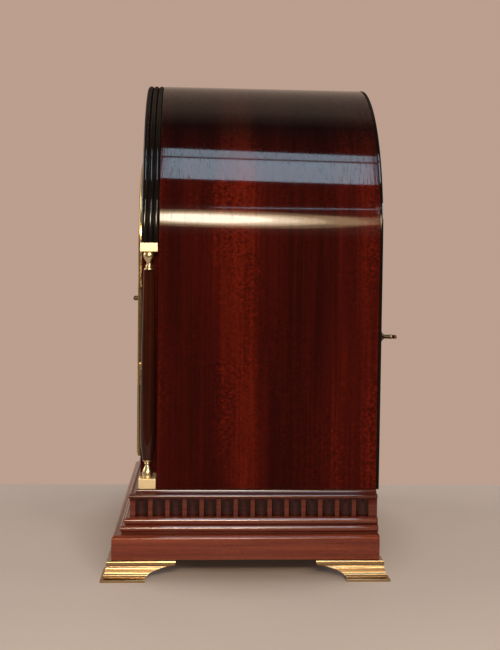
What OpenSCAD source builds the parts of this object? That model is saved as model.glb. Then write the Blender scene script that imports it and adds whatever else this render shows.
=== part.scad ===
// Arched chiming bracket clock with corner columns, fluted plinth and bracket feet.
// X runs across the front, the dial faces -Y, Z is up. The base stands on z = 0.

/* [Case] */
// Width of the arched body
case_w = 334; // [326:1:350]
// Straight height of the sides, from the plinth to where the arch springs
side_h = 231.5; // [228:0.5:245]
// Depth from the front of the arch moulding to the back face
case_d = 223.6; // [218:0.2:240]
// Thickness of the case sides and top
wall = 12; // [10:0.5:14]
// Thickness of the dark rim round the back edge
back_rim = 2.6; // [2:0.1:4]
// Thickness of the front board
board_t = 16; // [14:0.5:18]
// Width and depth of the reeded arch moulding
reed_band = 16; // [15:0.5:18]
// Thickness of the board under the movement
floor_t = 8; // [6:0.5:10]

/* [Plinth] */
// Height of the bracket feet
foot_h = 18; // [16:0.5:22]
// Height of the base rail
rail_h = 22; // [18:0.5:26]
// Height of the stepped moulding
step_h = 14; // [13:0.5:16]
// Height of the fluted frieze
frieze_h = 16; // [14:0.5:20]
// Height of the cap moulding
cap_h = 8; // [7.5:0.5:10]
// How far the base rail stands out from the body
rail_out = 22.7; // [21.5:0.1:26]
// How far the lower bead stands out
low_bead_out = 15.8; // [15:0.1:18]
// How far the upper bead stands out
high_bead_out = 12.2; // [12:0.1:14]
// How far the frieze stands out
frieze_out = 7.2; // [6:0.1:8]
// How far the cap moulding stands out
cap_out = 8.6; // [8.2:0.1:10]
// Flutes along each side
side_flutes = 14; // [10:1:16]
// Flutes along the front
front_flutes = 22; // [16:1:24]
// Width of one flute
flute_w = 12; // [8:0.1:12.4]
// Depth of one flute
flute_depth = 2.8; // [1.5:0.1:3.5]

/* [Feet] */
// How far the foot of a bracket stands out from the rail
foot_splay = 9.4; // [8:0.1:12]
// Length of a bracket along the floor
foot_run = 40; // [34:0.5:46]
// Length of a bracket along the rail
foot_reach = 65; // [56:0.5:72]
// Thickness of the bracket casting
foot_wall = 7; // [5:0.5:9]
// How far the back feet are set in from the back
foot_inset = 0.6; // [0:0.1:4]

/* [Columns] */
// Side of the square blocks above and below a column
block_w = 16; // [14:0.5:17]
// How far the blocks stand proud of the front
block_proud = 1; // [0.5:0.1:3]
// Height of the top block
cap_block_h = 8; // [6:0.5:10]
// Height of the bottom block
base_block_h = 9.4; // [8:0.1:12]
// Height of the turned brass below the top block
bell_h = 17; // [14:0.5:20]
// Height of the turned brass above the bottom block
bulb_h = 16.5; // [14:0.5:20]
// Widest diameter of the column shaft
shaft_d = 14; // [12:0.2:15]
// Diameter of the shaft at the top
shaft_top_d = 10.2; // [9:0.1:11.5]
// Diameter of the shaft at the bottom
shaft_foot_d = 9.4; // [9:0.1:11]
// How far the arch moulding runs on below the springing
arch_drop = 4.1; // [3:0.1:6]

/* [Front door] */
// Width of the brass door
door_w = 180; // [174:1:190]
// Height of the door's foot above the plinth
door_rise = 17.5; // [14:0.5:20]
// How far the door stands proud of the front
door_proud = 7; // [6.5:0.1:9]
// Width of the door frame
door_rim = 12; // [10:0.5:14]
// Thickness of the door glass
glass_t = 2; // [1.8:0.1:2.4]
// Depth of the rebate that holds the glass
rebate = 2.4; // [2:0.1:3]
// Height of the front hinges
hinge_h = 21.6; // [18:0.3:27]
// Distance of the upper front hinge below the springing
hinge_top_drop = 34.7; // [30:0.1:40]
// Distance of the lower front hinge below the springing
hinge_low_drop = 131.7; // [125:0.1:140]
// Radius of the hinge knuckles
knuckle_r = 2.5; // [2.2:0.1:2.6]
// Radius of the hinge pins
pin_r = 1; // [0.8:0.1:1.3]
// Distance of the knob below the springing
knob_drop = 59; // [55:0.5:70]
// How far the knob stands out from the front plane
knob_reach = 21.7; // [18:0.1:24]
// Diameter of the knob
knob_d = 7; // [6:0.1:9]

/* [Back door] */
// Width of the frame round the back door
back_frame_w = 17; // [15.5:0.5:20]
// Thickness of the back door
back_door_t = 9; // [8:0.5:10]
// Width of the back door's stiles
stile_w = 30; // [28:0.5:36]
// Thickness of the brass fret
fret_t = 1.6; // [1.2:0.1:2]
// Thickness of the cloth behind the fret
cloth_t = 0.8; // [0.6:0.1:1]
// Pitch of the pierced diamonds
fret_pitch = 26; // [22:1:30]
// How far the key stands out from the back
key_reach = 19.4; // [17:0.1:22]
// Distance of the key below the springing
key_drop = 89.5; // [80:0.5:100]
// Distance of the key in from the side of the body
key_in = 26; // [25:0.5:29]

/* [Dial] */
// Thickness of the dial plate
dial_t = 2; // [1.5:0.1:2.5]
// Height of the dial centre above the foot of the sight opening
dial_rise = 82.5; // [80:0.5:90]
// Outer diameter of the chapter ring
chapter_d = 142; // [136:1:146]
// Width of the chapter ring
chapter_w = 24; // [18:0.5:24]
// Thickness of the chapter ring
chapter_t = 1.5; // [1:0.1:2]
// Diameter of the two small dials
small_dial_d = 46; // [40:1:48]
// Diameter of the dial in the arch
arch_dial_d = 58; // [50:1:62]
// Distance of the small dials from the middle
small_dial_x = 44; // [42:0.5:50]
// Height of the small dials above the dial centre
small_dial_rise = 99.5; // [99:0.5:104]
// Height of the arch dial above the springing
arch_dial_rise = 27; // [22:0.5:36]
// Diameter of the winding holes
winding_hole_d = 11; // [10:0.5:12]
// Length of the minute hand
minute_len = 60; // [52:1:64]
// Length of the hour hand
hour_len = 42; // [36:1:46]

/* [Movement] */
// Distance from the dial plate to the front plate
dial_gap = 18; // [16:0.5:20]
// Thickness of the movement plates
plate_t = 3; // [2.5:0.1:4]
// Distance between the plates
plate_gap = 62; // [60:0.5:66]
// Width of the plates
plate_w = 176; // [170:1:190]
// Height of the plates below the dial centre
plate_low = 78; // [77:0.5:84]
// Height of the plates above the dial centre
plate_high = 100; // [92:1:106]
// Thickness of the seat board
seat_t = 12; // [10:0.5:14]
// Distance between the side barrels and the middle
side_barrel_x = 50; // [49:0.5:52]
// Diameter of the spring barrels
barrel_d = 44; // [40:0.5:46]
// Diameter of the winding arbors
winding_arbor_d = 6; // [5.4:0.1:6.4]
// Diameter of the pendulum bob
bob_d = 38; // [32:0.5:42]
// Thickness of the pendulum bob
bob_t = 7; // [6:0.5:9]
// Length of the pendulum to the middle of the bob
pendulum_len = 104; // [100:1:112]
// Diameter of the gong rods
gong_d = 3.2; // [2.6:0.1:3.6]
// How far the gong rods run on past the hammers
gong_over = 20; // [14:1:24]
// Width of the block that holds the gongs
gong_block_w = 24; // [20:1:28]
// Distance between the hammers
hammer_pitch = 9; // [8.5:0.1:10]

/* [Clearances] */
// Running clearance round a shaft
run_gap = 0.05; // [0.03:0.01:0.08]
// Gap between the door and what it closes on
door_gap = 0.6; // [0.5:0.05:0.9]
// Gap between pieces that pass each other
pass_gap = 0.4; // [0.3:0.05:0.8]
// Gap round the glass, the fret and the cloth in their rebates
pane_gap = 0.2; // [0.1:0.05:0.4]

/* [Hidden] */
$fn = 64;

body_r = case_w / 2;
body_z = foot_h + rail_h + step_h + frieze_h + cap_h;
spring_z = body_z + side_h;
inner_r = body_r - wall;
field_r = body_r - reed_band;
back_y = case_d - back_rim;
front_reach = -(block_proud + rail_out + foot_splay);
back_reach = case_d + key_reach;
middle_y = (front_reach + back_reach) / 2;

sight_r = door_w / 2 - door_rim;
sight_z = body_z + door_rise + door_rim;
dial_y = board_t;
dial_z = sight_z + dial_rise;
plate_y = dial_y + dial_t + dial_gap;
rear_y = plate_y + plate_t + plate_gap;
behind_y = rear_y + plate_t;
seat_z = dial_z - plate_low;

// Tooth sizes of the going train and of the chime train
great_teeth = 48;
leaf_count = 8;
great_module = 1.43;
centre_module = 1;
third_module = 0.9;
chime_module = 1.25;
drum_teeth = 32;
escape_teeth = 30;
going_drop = great_module * (great_teeth + leaf_count) / 2;
centre_reach = centre_module * (great_teeth + leaf_count) / 2;
third_reach = third_module * (great_teeth + leaf_count) / 2;
third_angle = 127;
escape_angle = 48;
third_x = centre_reach * cos(third_angle);
third_z = dial_z + centre_reach * sin(third_angle);
escape_x = third_x + third_reach * cos(escape_angle);
escape_z = third_z + third_reach * sin(escape_angle);
escape_r = 14;
pallet_z = escape_z + escape_r * 1.42;
going_z = dial_z - going_drop;
side_barrel_z = going_z + 5;
drum_rise = chime_module * (great_teeth + drum_teeth) / 2;
drum_z = side_barrel_z + drum_rise;
drum_r = 12;
drum_len = 4 * hammer_pitch + 2;
pin_tall = 3;
wheel_t = 2.4;

// Hammers, gongs and pendulum behind the back plate
hammer_out = 28;
hammer_drop = 23;
hammer_x = side_barrel_x + hammer_out;
hammer_z = drum_z - hammer_drop;
hammer_y = behind_y + hammer_pitch / 2 + 4;
rod_r = 2.5;
gong_z = body_z + floor_t + 15;
head_r = 5;
head_x = side_barrel_x + head_r + 1;
head_z = gong_z + gong_d / 2 + head_r + 1.5;
pendulum_y = behind_y + 12;
cock_z = pallet_z;

knuckle_x = door_w / 2 + 1 + knuckle_r;
knuckle_y = -door_proud + knuckle_r + 0.3;
back_leaf_r = inner_r - (back_frame_w - wall);
back_knuckle_r = knuckle_r - 0.4;
back_axis_x = -(back_leaf_r - door_gap / 2);
back_axis_y = case_d + back_knuckle_r + 0.3;
back_door_z = body_z + floor_t + 4;

// Where things are placed in the row's frame
module placed() {
  translate([0, -middle_y, 0]) children();
}

// A flat shape drawn in X and Z, given its thickness between two depths
module slab(y0, y1) {
  translate([0, y1, 0]) rotate([90, 0, 0]) linear_extrude(y1 - y0) children();
}

// A flat shape drawn in Y and Z, given its thickness between two places across
module side_slab(x0, x1) {
  translate([x0, 0, 0]) rotate([90, 0, 90]) linear_extrude(x1 - x0) children();
}

// A round bar from front to back
module bar(x, z, r, y0, y1) {
  translate([x, y1, z]) rotate([90, 0, 0]) cylinder(r = r, h = y1 - y0);
}

// A square with its arch on top
module arch(r, z0) {
  translate([-r, z0]) square([2 * r, spring_z - z0]);
  translate([0, spring_z]) circle(r, $fn = 180);
}

module mirrored() {
  children();
  mirror([1, 0, 0]) children();
}

// A moulding that returns round the front and both sides, from its upright section.
// The section's first coordinate is how far it stands out from the body.
module returned(z0, z1) {
  intersection() {
    slab(front_reach - 1, back_y) {
      mirrored() intersection() {
        translate([body_r, 0]) children();
        translate([0, z0]) square([body_r + rail_out + foot_splay, z1 - z0]);
      }
      translate([-body_r, z0]) square([case_w, z1 - z0]);
    }
    side_slab(-body_r - rail_out - foot_splay, body_r + rail_out + foot_splay) {
      mirror([1, 0]) translate([block_proud, 0]) children();
      translate([-block_proud, z0]) square([back_y + block_proud, z1 - z0]);
    }
  }
}

plinth_void_x = body_r - 30;
plinth_void_front = 22;
plinth_void_back = back_y - 22;
module plinth_void(z0, z1) {
  translate([-plinth_void_x, plinth_void_front, z0 - 1])
    cube([2 * plinth_void_x, plinth_void_back - plinth_void_front, z1 - z0 + 2]);
}

rail_z = foot_h;
step_z = rail_z + rail_h;
frieze_z = step_z + step_h;
cap_z = frieze_z + frieze_h;

module base_rail() color([0.42, 0.13, 0.07]) placed() {
  edge = 4;
  difference() {
    returned(rail_z, step_z) {
      translate([-1, rail_z]) square([rail_out + 1, rail_h - edge]);
      translate([-1, rail_z]) square([rail_out + 1 - edge, rail_h]);
      translate([rail_out - edge, step_z - edge]) circle(edge);
    }
    plinth_void(rail_z, step_z);
  }
}

module step_moulding() color([0.34, 0.09, 0.05]) placed() {
  low_r = step_h * 0.22;
  high_r = step_h * 0.25;
  difference() {
    returned(step_z, frieze_z) {
      translate([-1, step_z]) square([low_bead_out - low_r + 1, step_h * 0.53]);
      translate([low_bead_out - low_r, step_z + step_h * 0.31]) circle(low_r);
      translate([-1, step_z]) square([high_bead_out - high_r + 1, step_h]);
      translate([high_bead_out - high_r, frieze_z - high_r]) circle(high_r);
    }
    plinth_void(step_z, frieze_z);
  }
}

// One scooped flute, cut through the whole height of the frieze
module flute() {
  cut_r = (pow(flute_w / 2, 2) + pow(flute_depth, 2)) / (2 * flute_depth);
  translate([cut_r - flute_depth, 0, frieze_z - 1]) cylinder(r = cut_r, h = frieze_h + 2);
}

module fluted_frieze() color([0.27, 0.07, 0.04]) placed() {
  side_first = -block_proud - frieze_out + 3;
  side_pitch = (back_y - 6 - side_first) / side_flutes;
  front_pitch = 2 * (body_r + frieze_out - 3) / front_flutes;
  difference() {
    translate([-body_r - frieze_out, -block_proud - frieze_out, frieze_z])
      cube([case_w + 2 * frieze_out, back_y + block_proud + frieze_out, frieze_h]);
    plinth_void(frieze_z, cap_z);
    mirrored() for (i = [0 : side_flutes - 1])
      translate([body_r + frieze_out, side_first + (i + 0.5) * side_pitch, 0]) flute();
    for (i = [0 : front_flutes - 1])
      translate([(i + 0.5 - front_flutes / 2) * front_pitch, -block_proud - frieze_out, 0])
        rotate([0, 0, -90]) flute();
  }
}

module cap_moulding() color([0.34, 0.09, 0.05]) placed() {
  bead_r = cap_h * 0.28;
  hollow_r = cap_h * 0.42;
  difference() {
    returned(cap_z, body_z) {
      translate([-1, cap_z]) square([cap_out - bead_r + 1, cap_h * 0.52]);
      translate([cap_out - bead_r, cap_z + cap_h * 0.32]) circle(bead_r);
      difference() {
        translate([-1, cap_z]) square([hollow_r + 2.2, cap_h]);
        translate([hollow_r + 1.2, body_z]) circle(hollow_r);
      }
    }
    plinth_void(cap_z, body_z);
  }
}

module floor_board() color([0.5, 0.3, 0.17]) placed() {
  translate([-inner_r, board_t + 8, body_z])
    cube([2 * inner_r, back_y - back_door_t - 1.6 - board_t - 8, floor_t]);
}

// Upright section of a foot. Its first coordinate runs out from the rail.
module foot_section() {
  bead_r = foot_h * 0.13;
  low_r = foot_h * 0.07;
  translate([foot_splay - 7.3, foot_h - bead_r]) circle(bead_r);
  translate([foot_splay - 3.8, foot_h * 0.29]) circle(low_r);
  polygon([[-foot_reach - 12, 0], [foot_splay, 0], [foot_splay, foot_h * 0.11],
    [foot_splay - 1.2, foot_h * 0.15], [foot_splay - 2.6, foot_h * 0.18],
    [foot_splay - 3.2, foot_h * 0.23], [foot_splay - 3.4, foot_h * 0.37],
    [foot_splay - 4, foot_h * 0.43], [foot_splay - 5, foot_h * 0.6],
    [foot_splay - 5.8, foot_h * 0.72], [foot_splay - 6, foot_h], [-foot_reach - 12, foot_h]]);
}

// Side view of a foot, with the bracket curve. It runs from the corner inwards.
module foot_outline() {
  run = foot_run - foot_splay;
  tip = foot_reach - foot_splay + 2.7;
  heel = foot_h * 0.22;
  rise = foot_h * 0.65;
  polygon(concat([[-foot_splay - 1, 0], [run, 0], [run, heel]],
    [for (a = [0 : 10 : 90]) [tip - (tip - run - 1) * cos(a), heel + rise * sin(a)]],
    [[tip, foot_h], [-foot_splay - 1, foot_h]]));
}

// A foot at the corner, running in to negative X and positive Y
module foot() {
  intersection() {
    slab(-foot_splay - 1, foot_reach + 10) foot_section();
    side_slab(-foot_reach - 10, foot_splay + 1) mirror([1, 0]) foot_section();
    union() {
      side_slab(-foot_wall, foot_splay + 1) foot_outline();
      slab(-foot_splay - 1, foot_wall) mirror([1, 0]) foot_outline();
    }
  }
  translate([-foot_run, 0, foot_h - 3]) cube([foot_run, foot_run, 3]);
}

module front_feet() color([0.8, 0.62, 0.3]) placed() {
  mirrored() translate([body_r + rail_out, -block_proud - rail_out, 0]) foot();
}

module back_feet() color([0.8, 0.62, 0.3]) placed() {
  mirrored() translate([body_r + rail_out, back_y - foot_inset, 0]) mirror([0, 1, 0]) foot();
}

post_w = 28;
post_t = 8;
module carcase() color([0.36, 0.09, 0.05]) placed() {
  difference() {
    slab(board_t, back_y) arch(body_r, body_z);
    slab(board_t + post_t, back_y + 1) arch(inner_r, body_z - 1);
    slab(board_t - 1, board_t + post_t + 1) arch(body_r - post_w, body_z - 1);
  }
}

module front_board() color([0.36, 0.09, 0.05]) placed() {
  difference() {
    slab(0, board_t) arch(field_r, body_z);
    slab(-1, board_t + 1) arch(sight_r, sight_z);
    knob_mortise();
  }
}

// Section of the reeded moulding: radius first, then depth from the front
module reeded_section() {
  reed = reed_band / 6;
  valley = reed * 0.8;
  translate([field_r, valley]) square([reed_band - valley, board_t - valley]);
  for (i = [0 : 2]) {
    translate([body_r - reed, reed * (1 + 2 * i)]) circle(reed, $fn = 32);
    translate([field_r + reed * (1 + 2 * i), reed]) circle(reed, $fn = 32);
  }
}

module reeded_arch() color([0.06, 0.05, 0.05]) placed() {
  intersection() {
    translate([-body_r, 0, spring_z - arch_drop]) cube([case_w, board_t, body_r + arch_drop]);
    union() {
      translate([0, 0, spring_z]) rotate([-90, 0, 0]) rotate([0, 0, 180])
        rotate_extrude(angle = 180, $fn = 180) reeded_section();
      mirrored() translate([0, 0, spring_z - arch_drop]) linear_extrude(arch_drop) reeded_section();
    }
  }
}

column_x = body_r - block_w / 2;
column_y = block_w / 2 - block_proud;
cap_block_z = spring_z - arch_drop - cap_block_h;
shaft_top_z = cap_block_z - bell_h;
shaft_foot_z = body_z + base_block_h + bulb_h;

// The shaft swells low down and draws in to its neck
function shaft_r(u, low, wide, top, at) =
  u < at ? low + (wide - low) * sin(90 * u / at)
         : top + (wide - top) * cos(90 * (u - at) / (1 - at));

module column_shaft() {
  tall = shaft_top_z - shaft_foot_z;
  steps = 24;
  translate([column_x, column_y, shaft_foot_z]) rotate_extrude($fn = 48)
    polygon(concat([[0, 0]],
      [for (i = [0 : steps])
        [shaft_r(i / steps, shaft_foot_d / 2, shaft_d / 2, shaft_top_d / 2, 0.15), tall * i / steps]],
      [[0, tall]]));
}

module column_shaft_left() color([0.4, 0.12, 0.06]) placed() mirror([1, 0, 0]) column_shaft();

module column_shaft_right() color([0.4, 0.12, 0.06]) placed() column_shaft();

// Turned brass between a block and the shaft, from the block's face outwards
module capital_turning() {
  rotate_extrude($fn = 48) {
    polygon([[0, 0], [5.3, 0], [5.3, bell_h * 0.1], [4.9, bell_h * 0.16], [4.6, bell_h * 0.3],
      [3.4, bell_h * 0.46], [2.3, bell_h * 0.58], [2.1, bell_h * 0.68], [2.4, bell_h * 0.78],
      [3.6, bell_h * 0.86], [4.5, bell_h * 0.88], [4.5, bell_h], [0, bell_h]]);
  }
}

module base_turning() {
  belly = bulb_h * 0.36;
  rotate_extrude($fn = 48) {
    polygon([[0, 0], [4.3, 0], [4.8, bulb_h * 0.1], [5, belly * 0.6], [5, belly],
      [4.6, belly * 1.4], [3.5, bulb_h * 0.62], [2.2, bulb_h * 0.72], [3, bulb_h * 0.8],
      [2.7, bulb_h * 0.88], [4.2, bulb_h * 0.92], [4.2, bulb_h], [0, bulb_h]]);
  }
}

module column_capitals() color([0.85, 0.7, 0.42]) placed() {
  mirrored() {
    translate([column_x - block_w / 2, column_y - block_w / 2, cap_block_z])
      cube([block_w, block_w, cap_block_h]);
    translate([column_x, column_y, cap_block_z]) mirror([0, 0, 1]) capital_turning();
  }
}

module column_bases() color([0.85, 0.7, 0.42]) placed() {
  mirrored() {
    translate([column_x - block_w / 2, column_y - block_w / 2, body_z])
      cube([block_w, block_w, base_block_h]);
    translate([column_x, column_y, body_z + base_block_h]) base_turning();
  }
}

// The frame that the back door closes in, with the dark rim that shows from the side
frame_t = back_door_t + 1.6;
module back_frame() color([0.1, 0.06, 0.05]) placed() {
  difference() {
    union() {
      slab(back_y, case_d) arch(body_r, body_z);
      slab(case_d - frame_t, back_y) arch(inner_r, body_z);
    }
    slab(case_d - frame_t - 1, case_d + 1) arch(back_leaf_r, back_door_z - door_gap);
  }
}

leaf_r = back_leaf_r - door_gap;
fret_r = leaf_r - stile_w;
fret_z = back_door_z + stile_w;
key_x = body_r - key_in;
key_z = spring_z - key_drop;
key_shank_r = 1.9;
fret_seat = 3;
bolt_t = 3;
bolt_long = key_in - wall - 1.5;
module back_door() color([0.3, 0.09, 0.05]) placed() {
  difference() {
    slab(case_d - back_door_t, case_d) arch(leaf_r, back_door_z);
    slab(case_d - back_door_t - 1, case_d + 1) arch(fret_r, fret_z);
    slab(case_d - back_door_t - 1, case_d - back_door_t + 4) arch(fret_r + fret_seat, fret_z - fret_seat);
    bar(key_x, key_z, key_shank_r + run_gap, case_d - back_door_t - 1, case_d + 1);
  }
}

// A lattice of pierced diamonds inside a plain border
module back_fret() color([0.8, 0.62, 0.3]) placed() {
  seat_y = case_d - back_door_t + 4;
  margin = fret_seat + 7;
  half = fret_pitch / 2;
  hole = half - 2.2;
  rows = ceil((spring_z + fret_r - fret_z) / half);
  cols = ceil(fret_r / half);
  slab(seat_y - fret_t, seat_y) difference() {
    arch(fret_r + fret_seat - pane_gap, fret_z - fret_seat + pane_gap);
    for (i = [-cols : cols], j = [0 : rows]) {
      x = i * half;
      z = fret_z + fret_seat + half + j * half;
      high = max(0, z - spring_z);
      inside = norm([x, high]) + half < fret_r + fret_seat - 4;
      if ((i + j) % 2 == 0 && inside && z + half < spring_z + fret_r)
        translate([x, z]) rotate(45) square(hole * sqrt(2), center = true);
    }
  }
}

module fret_cloth() color([0.5, 0.1, 0.08]) placed() {
  seat_y = case_d - back_door_t + 4 - fret_t;
  slab(seat_y - cloth_t, seat_y) arch(fret_r + fret_seat - pane_gap, fret_z - fret_seat + pane_gap);
}

// Heights of the two back hinges
back_hinge_h = 30;
back_hinges = [back_door_z + 45, spring_z - 30];
back_leaf_w = 11;

// One hinge leaf with its knuckles, on an upright axis. Screws hold it through its plate.
module knuckle_stack(r, tall, parts) {
  third = tall / 3;
  for (i = parts) translate([0, 0, third * i + (i == 0 ? 0 : 0.15)])
    cylinder(r = r, h = third - (i == 1 ? 0.3 : 0.15));
}

module back_hinge_leaves() color([0.8, 0.62, 0.3]) placed() {
  for (z = back_hinges) translate([back_axis_x, back_axis_y, z]) {
    knuckle_stack(back_knuckle_r, back_hinge_h, [0, 2]);
    cylinder(r = pin_r, h = back_hinge_h);
    for (i = [0, 2]) translate([-back_leaf_w, case_d - back_axis_y, back_hinge_h / 3 * i + (i == 2 ? 0.15 : 0)])
      cube([back_leaf_w, 1.2, back_hinge_h / 3 - 0.15]);
    translate([-back_leaf_w, case_d - back_axis_y, 0])
      cube([back_leaf_w - back_knuckle_r - 0.9, 1.2, back_hinge_h]);
  }
}

module back_door_hinges() color([0.8, 0.62, 0.3]) placed() {
  third = back_hinge_h / 3;
  for (z = back_hinges) translate([back_axis_x, back_axis_y, z]) difference() {
    union() {
      knuckle_stack(back_knuckle_r, back_hinge_h, [1]);
      translate([0.2, case_d - back_axis_y, third + 0.15]) cube([back_leaf_w, 1.2, third - 0.3]);
      translate([back_knuckle_r + 1.5, case_d - back_axis_y, 0]) cube([back_leaf_w, 1.2, back_hinge_h]);
    }
    translate([0, 0, -1]) cylinder(r = pin_r + run_gap, h = back_hinge_h + 2);
  }
}

// Turned rosette, spread out against the door
module back_escutcheon() color([0.8, 0.62, 0.3]) placed() {
  difference() {
    translate([key_x, case_d, key_z]) rotate([-90, 0, 0]) rotate_extrude()
      polygon([[0, 0], [6.2, 0], [6.2, 1], [5.4, 1.6], [5.6, 3.6], [4.9, 4.9], [3.7, 5.6], [2.8, 6.4], [2.6, 7.1], [0, 7.1]]);
    bar(key_x, key_z, key_shank_r + run_gap, case_d - 1, case_d + 9);
  }
}

// Turn key: a shank, a flat bow and a tongue that passes behind the frame
module back_key() color([0.6, 0.48, 0.28]) placed() {
  bow_y = case_d + key_reach - 6.4;
  bolt_y = case_d - frame_t - pass_gap - bolt_t;
  bar(key_x, key_z, key_shank_r, bolt_y, bow_y);
  translate([key_x - 6, bow_y, key_z - 1.9]) cube([12, 6.4, 3.8]);
  translate([key_x - 2, bolt_y, key_z - bolt_long]) cube([4, bolt_t, bolt_long + 2]);
}

// Front door: a brass arch with a rebate behind for the glass
knob_x = -(door_w / 2 - door_rim / 2);
knob_z = spring_z - knob_drop;
knob_shank_r = 1.8;
door_z = body_z + door_rise;
door_back = -0.4;
module front_door() color([0.83, 0.66, 0.33]) placed() {
  lip = 2.6;
  difference() {
    union() {
      slab(-door_proud + 1.4, door_back) arch(door_w / 2, door_z);
      slab(-door_proud, door_back) arch(door_w / 2 - lip, door_z + lip);
    }
    slab(-door_proud - 1, door_back + 1) arch(sight_r, sight_z);
    slab(door_back - rebate - glass_t, door_back + 1) arch(sight_r + rebate, sight_z - rebate);
    bar(knob_x, knob_z, knob_shank_r + run_gap, -door_proud - 1, door_back + 1);
  }
}

module front_glass() color([0.8, 0.9, 0.9, 0.3]) placed() {
  slab(door_back - rebate - glass_t, door_back - rebate)
    arch(sight_r + rebate - pane_gap, sight_z - rebate + pane_gap);
}

front_hinges = [spring_z - hinge_top_drop - hinge_h / 2, spring_z - hinge_low_drop - hinge_h / 2];
front_leaf_w = 16;
module front_hinge_leaves() color([0.83, 0.66, 0.33]) placed() {
  for (z = front_hinges) translate([knuckle_x, knuckle_y, z]) {
    knuckle_stack(knuckle_r, hinge_h, [0, 2]);
    cylinder(r = pin_r, h = hinge_h);
    for (i = [0, 2]) translate([0, 0, hinge_h / 3 * i + (i == 2 ? 0.15 : 0)]) {
      translate([knuckle_r - 1.2, 0, 0]) cube([1.2, -knuckle_y, hinge_h / 3 - 0.15]);
      translate([knuckle_r - 1.2, -knuckle_y - 1.2, 0]) cube([front_leaf_w, 1.2, hinge_h / 3 - 0.15]);
    }
    translate([knuckle_r + 0.6, -knuckle_y - 1.2, 0]) cube([front_leaf_w - 1.8, 1.2, hinge_h]);
  }
}

module front_door_hinges() color([0.83, 0.66, 0.33]) placed() {
  third = hinge_h / 3;
  for (z = front_hinges) translate([knuckle_x, knuckle_y, z]) difference() {
    union() {
      knuckle_stack(knuckle_r, hinge_h, [1]);
      translate([door_w / 2 - knuckle_x, -0.8, third + 0.15])
        cube([knuckle_x - door_w / 2, 1.6, third - 0.3]);
    }
    translate([0, 0, -1]) cylinder(r = pin_r + run_gap, h = hinge_h + 2);
  }
}

tongue_t = 2.4;
tongue_long = 4;
tongue_y = 3;
// Upright slot in the front board, opening into a round pocket where the tongue turns
module knob_mortise() {
  translate([knob_x - knob_shank_r - 1, -1, knob_z - tongue_long - 1])
    cube([2 * knob_shank_r + 2, tongue_y + 2, 2 * tongue_long + 2]);
  bar(knob_x, knob_z, tongue_long + 1, tongue_y - pass_gap, tongue_y + tongue_t + pass_gap);
}

module front_knob() color([0.5, 0.4, 0.24]) placed() {
  bar(knob_x, knob_z, knob_shank_r, -knob_reach + 6, tongue_y + tongue_t);
  bar(knob_x, knob_z, 4, -door_proud - 1.5, -door_proud - 0.05);
  translate([knob_x, -door_proud - 1.5, knob_z]) rotate([90, 0, 0]) rotate_extrude($fn = 32)
    polygon([[0, 0], [2.4, 0], [1.8, 3], [2, 6], [knob_d / 2 - 0.4, knob_reach - door_proud - 5.5],
      [knob_d / 2, knob_reach - door_proud - 4], [knob_d / 2 - 0.6, knob_reach - door_proud - 2.3],
      [1.6, knob_reach - door_proud - 1.5], [0, knob_reach - door_proud - 1.5]]);
  translate([knob_x - knob_shank_r, tongue_y, knob_z - tongue_long])
    cube([2 * knob_shank_r, tongue_t, 2 * tongue_long]);
}

small_dial_z = dial_z + small_dial_rise;
arch_dial_z = spring_z + arch_dial_rise;
small_dials = [[-small_dial_x, small_dial_z], [small_dial_x, small_dial_z], [0, arch_dial_z]];
hand_boss_r = 2.2;
dial_foot_r = 2.5;
dial_feet = [[-60, -62], [60, -62], [-66, 74], [66, 74]];
cannon_r = 5;

module dial_plate() color([0.8, 0.64, 0.32]) placed() {
  difference() {
    slab(dial_y, dial_y + dial_t) arch(sight_r + 5, sight_z - 5);
    for (x = [-side_barrel_x, side_barrel_x])
      bar(x, side_barrel_z, winding_hole_d / 2, dial_y - 1, dial_y + dial_t + 1);
    bar(0, going_z, winding_hole_d / 2, dial_y - 1, dial_y + dial_t + 1);
    bar(0, dial_z, cannon_r + 0.5, dial_y - 1, dial_y + dial_t + 1);
    for (at = small_dials)
      bar(at[0], at[1], hand_boss_r + run_gap, dial_y - 1, dial_y + dial_t + 1);
  }
  for (at = dial_feet)
    bar(at[0], dial_z + at[1], dial_foot_r, dial_y + dial_t, plate_y);
}

module chapter_ring() color([0.8, 0.8, 0.76]) placed() {
  slab(dial_y - chapter_t, dial_y) translate([0, dial_z]) difference() {
    circle(chapter_d / 2, $fn = 120);
    circle(chapter_d / 2 - chapter_w, $fn = 120);
    for (at = [[-side_barrel_x, side_barrel_z - dial_z], [side_barrel_x, side_barrel_z - dial_z], [0, going_z - dial_z]])
      translate(at) circle(winding_hole_d / 2);
  }
}

// Four cast corner pieces with a plain scrolled outline
module spandrels() color([0.83, 0.66, 0.33]) placed() {
  corner = sight_r - 3;
  scroll_at = (corner * 1.38 + chapter_d / 2 + 3) / 2 * cos(45);
  slab(dial_y - 2, dial_y) translate([0, dial_z]) for (sx = [-1, 1], sz = [-1, 1])
    difference() {
      intersection() {
        translate([sx > 0 ? corner - 36 : -corner, sz > 0 ? corner - 36 : -corner]) square(36);
        difference() {
          circle(corner * 1.38, $fn = 96);
          circle(chapter_d / 2 + 3, $fn = 96);
        }
      }
      translate([sx * scroll_at, sz * scroll_at]) circle(4);
      translate([sx * (corner - 36), sz * (corner + 2)]) circle(9);
      translate([sx * (corner + 2), sz * (corner - 36)]) circle(9);
    }
}

module small_dial_rings() color([0.8, 0.8, 0.76]) placed() {
  slab(dial_y - 1.2, dial_y) for (i = [0 : 2]) translate(small_dials[i]) difference() {
    circle((i == 2 ? arch_dial_d : small_dial_d) / 2, $fn = 72);
    circle((i == 2 ? arch_dial_d : small_dial_d) / 2 - 7, $fn = 72);
  }
}

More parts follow.
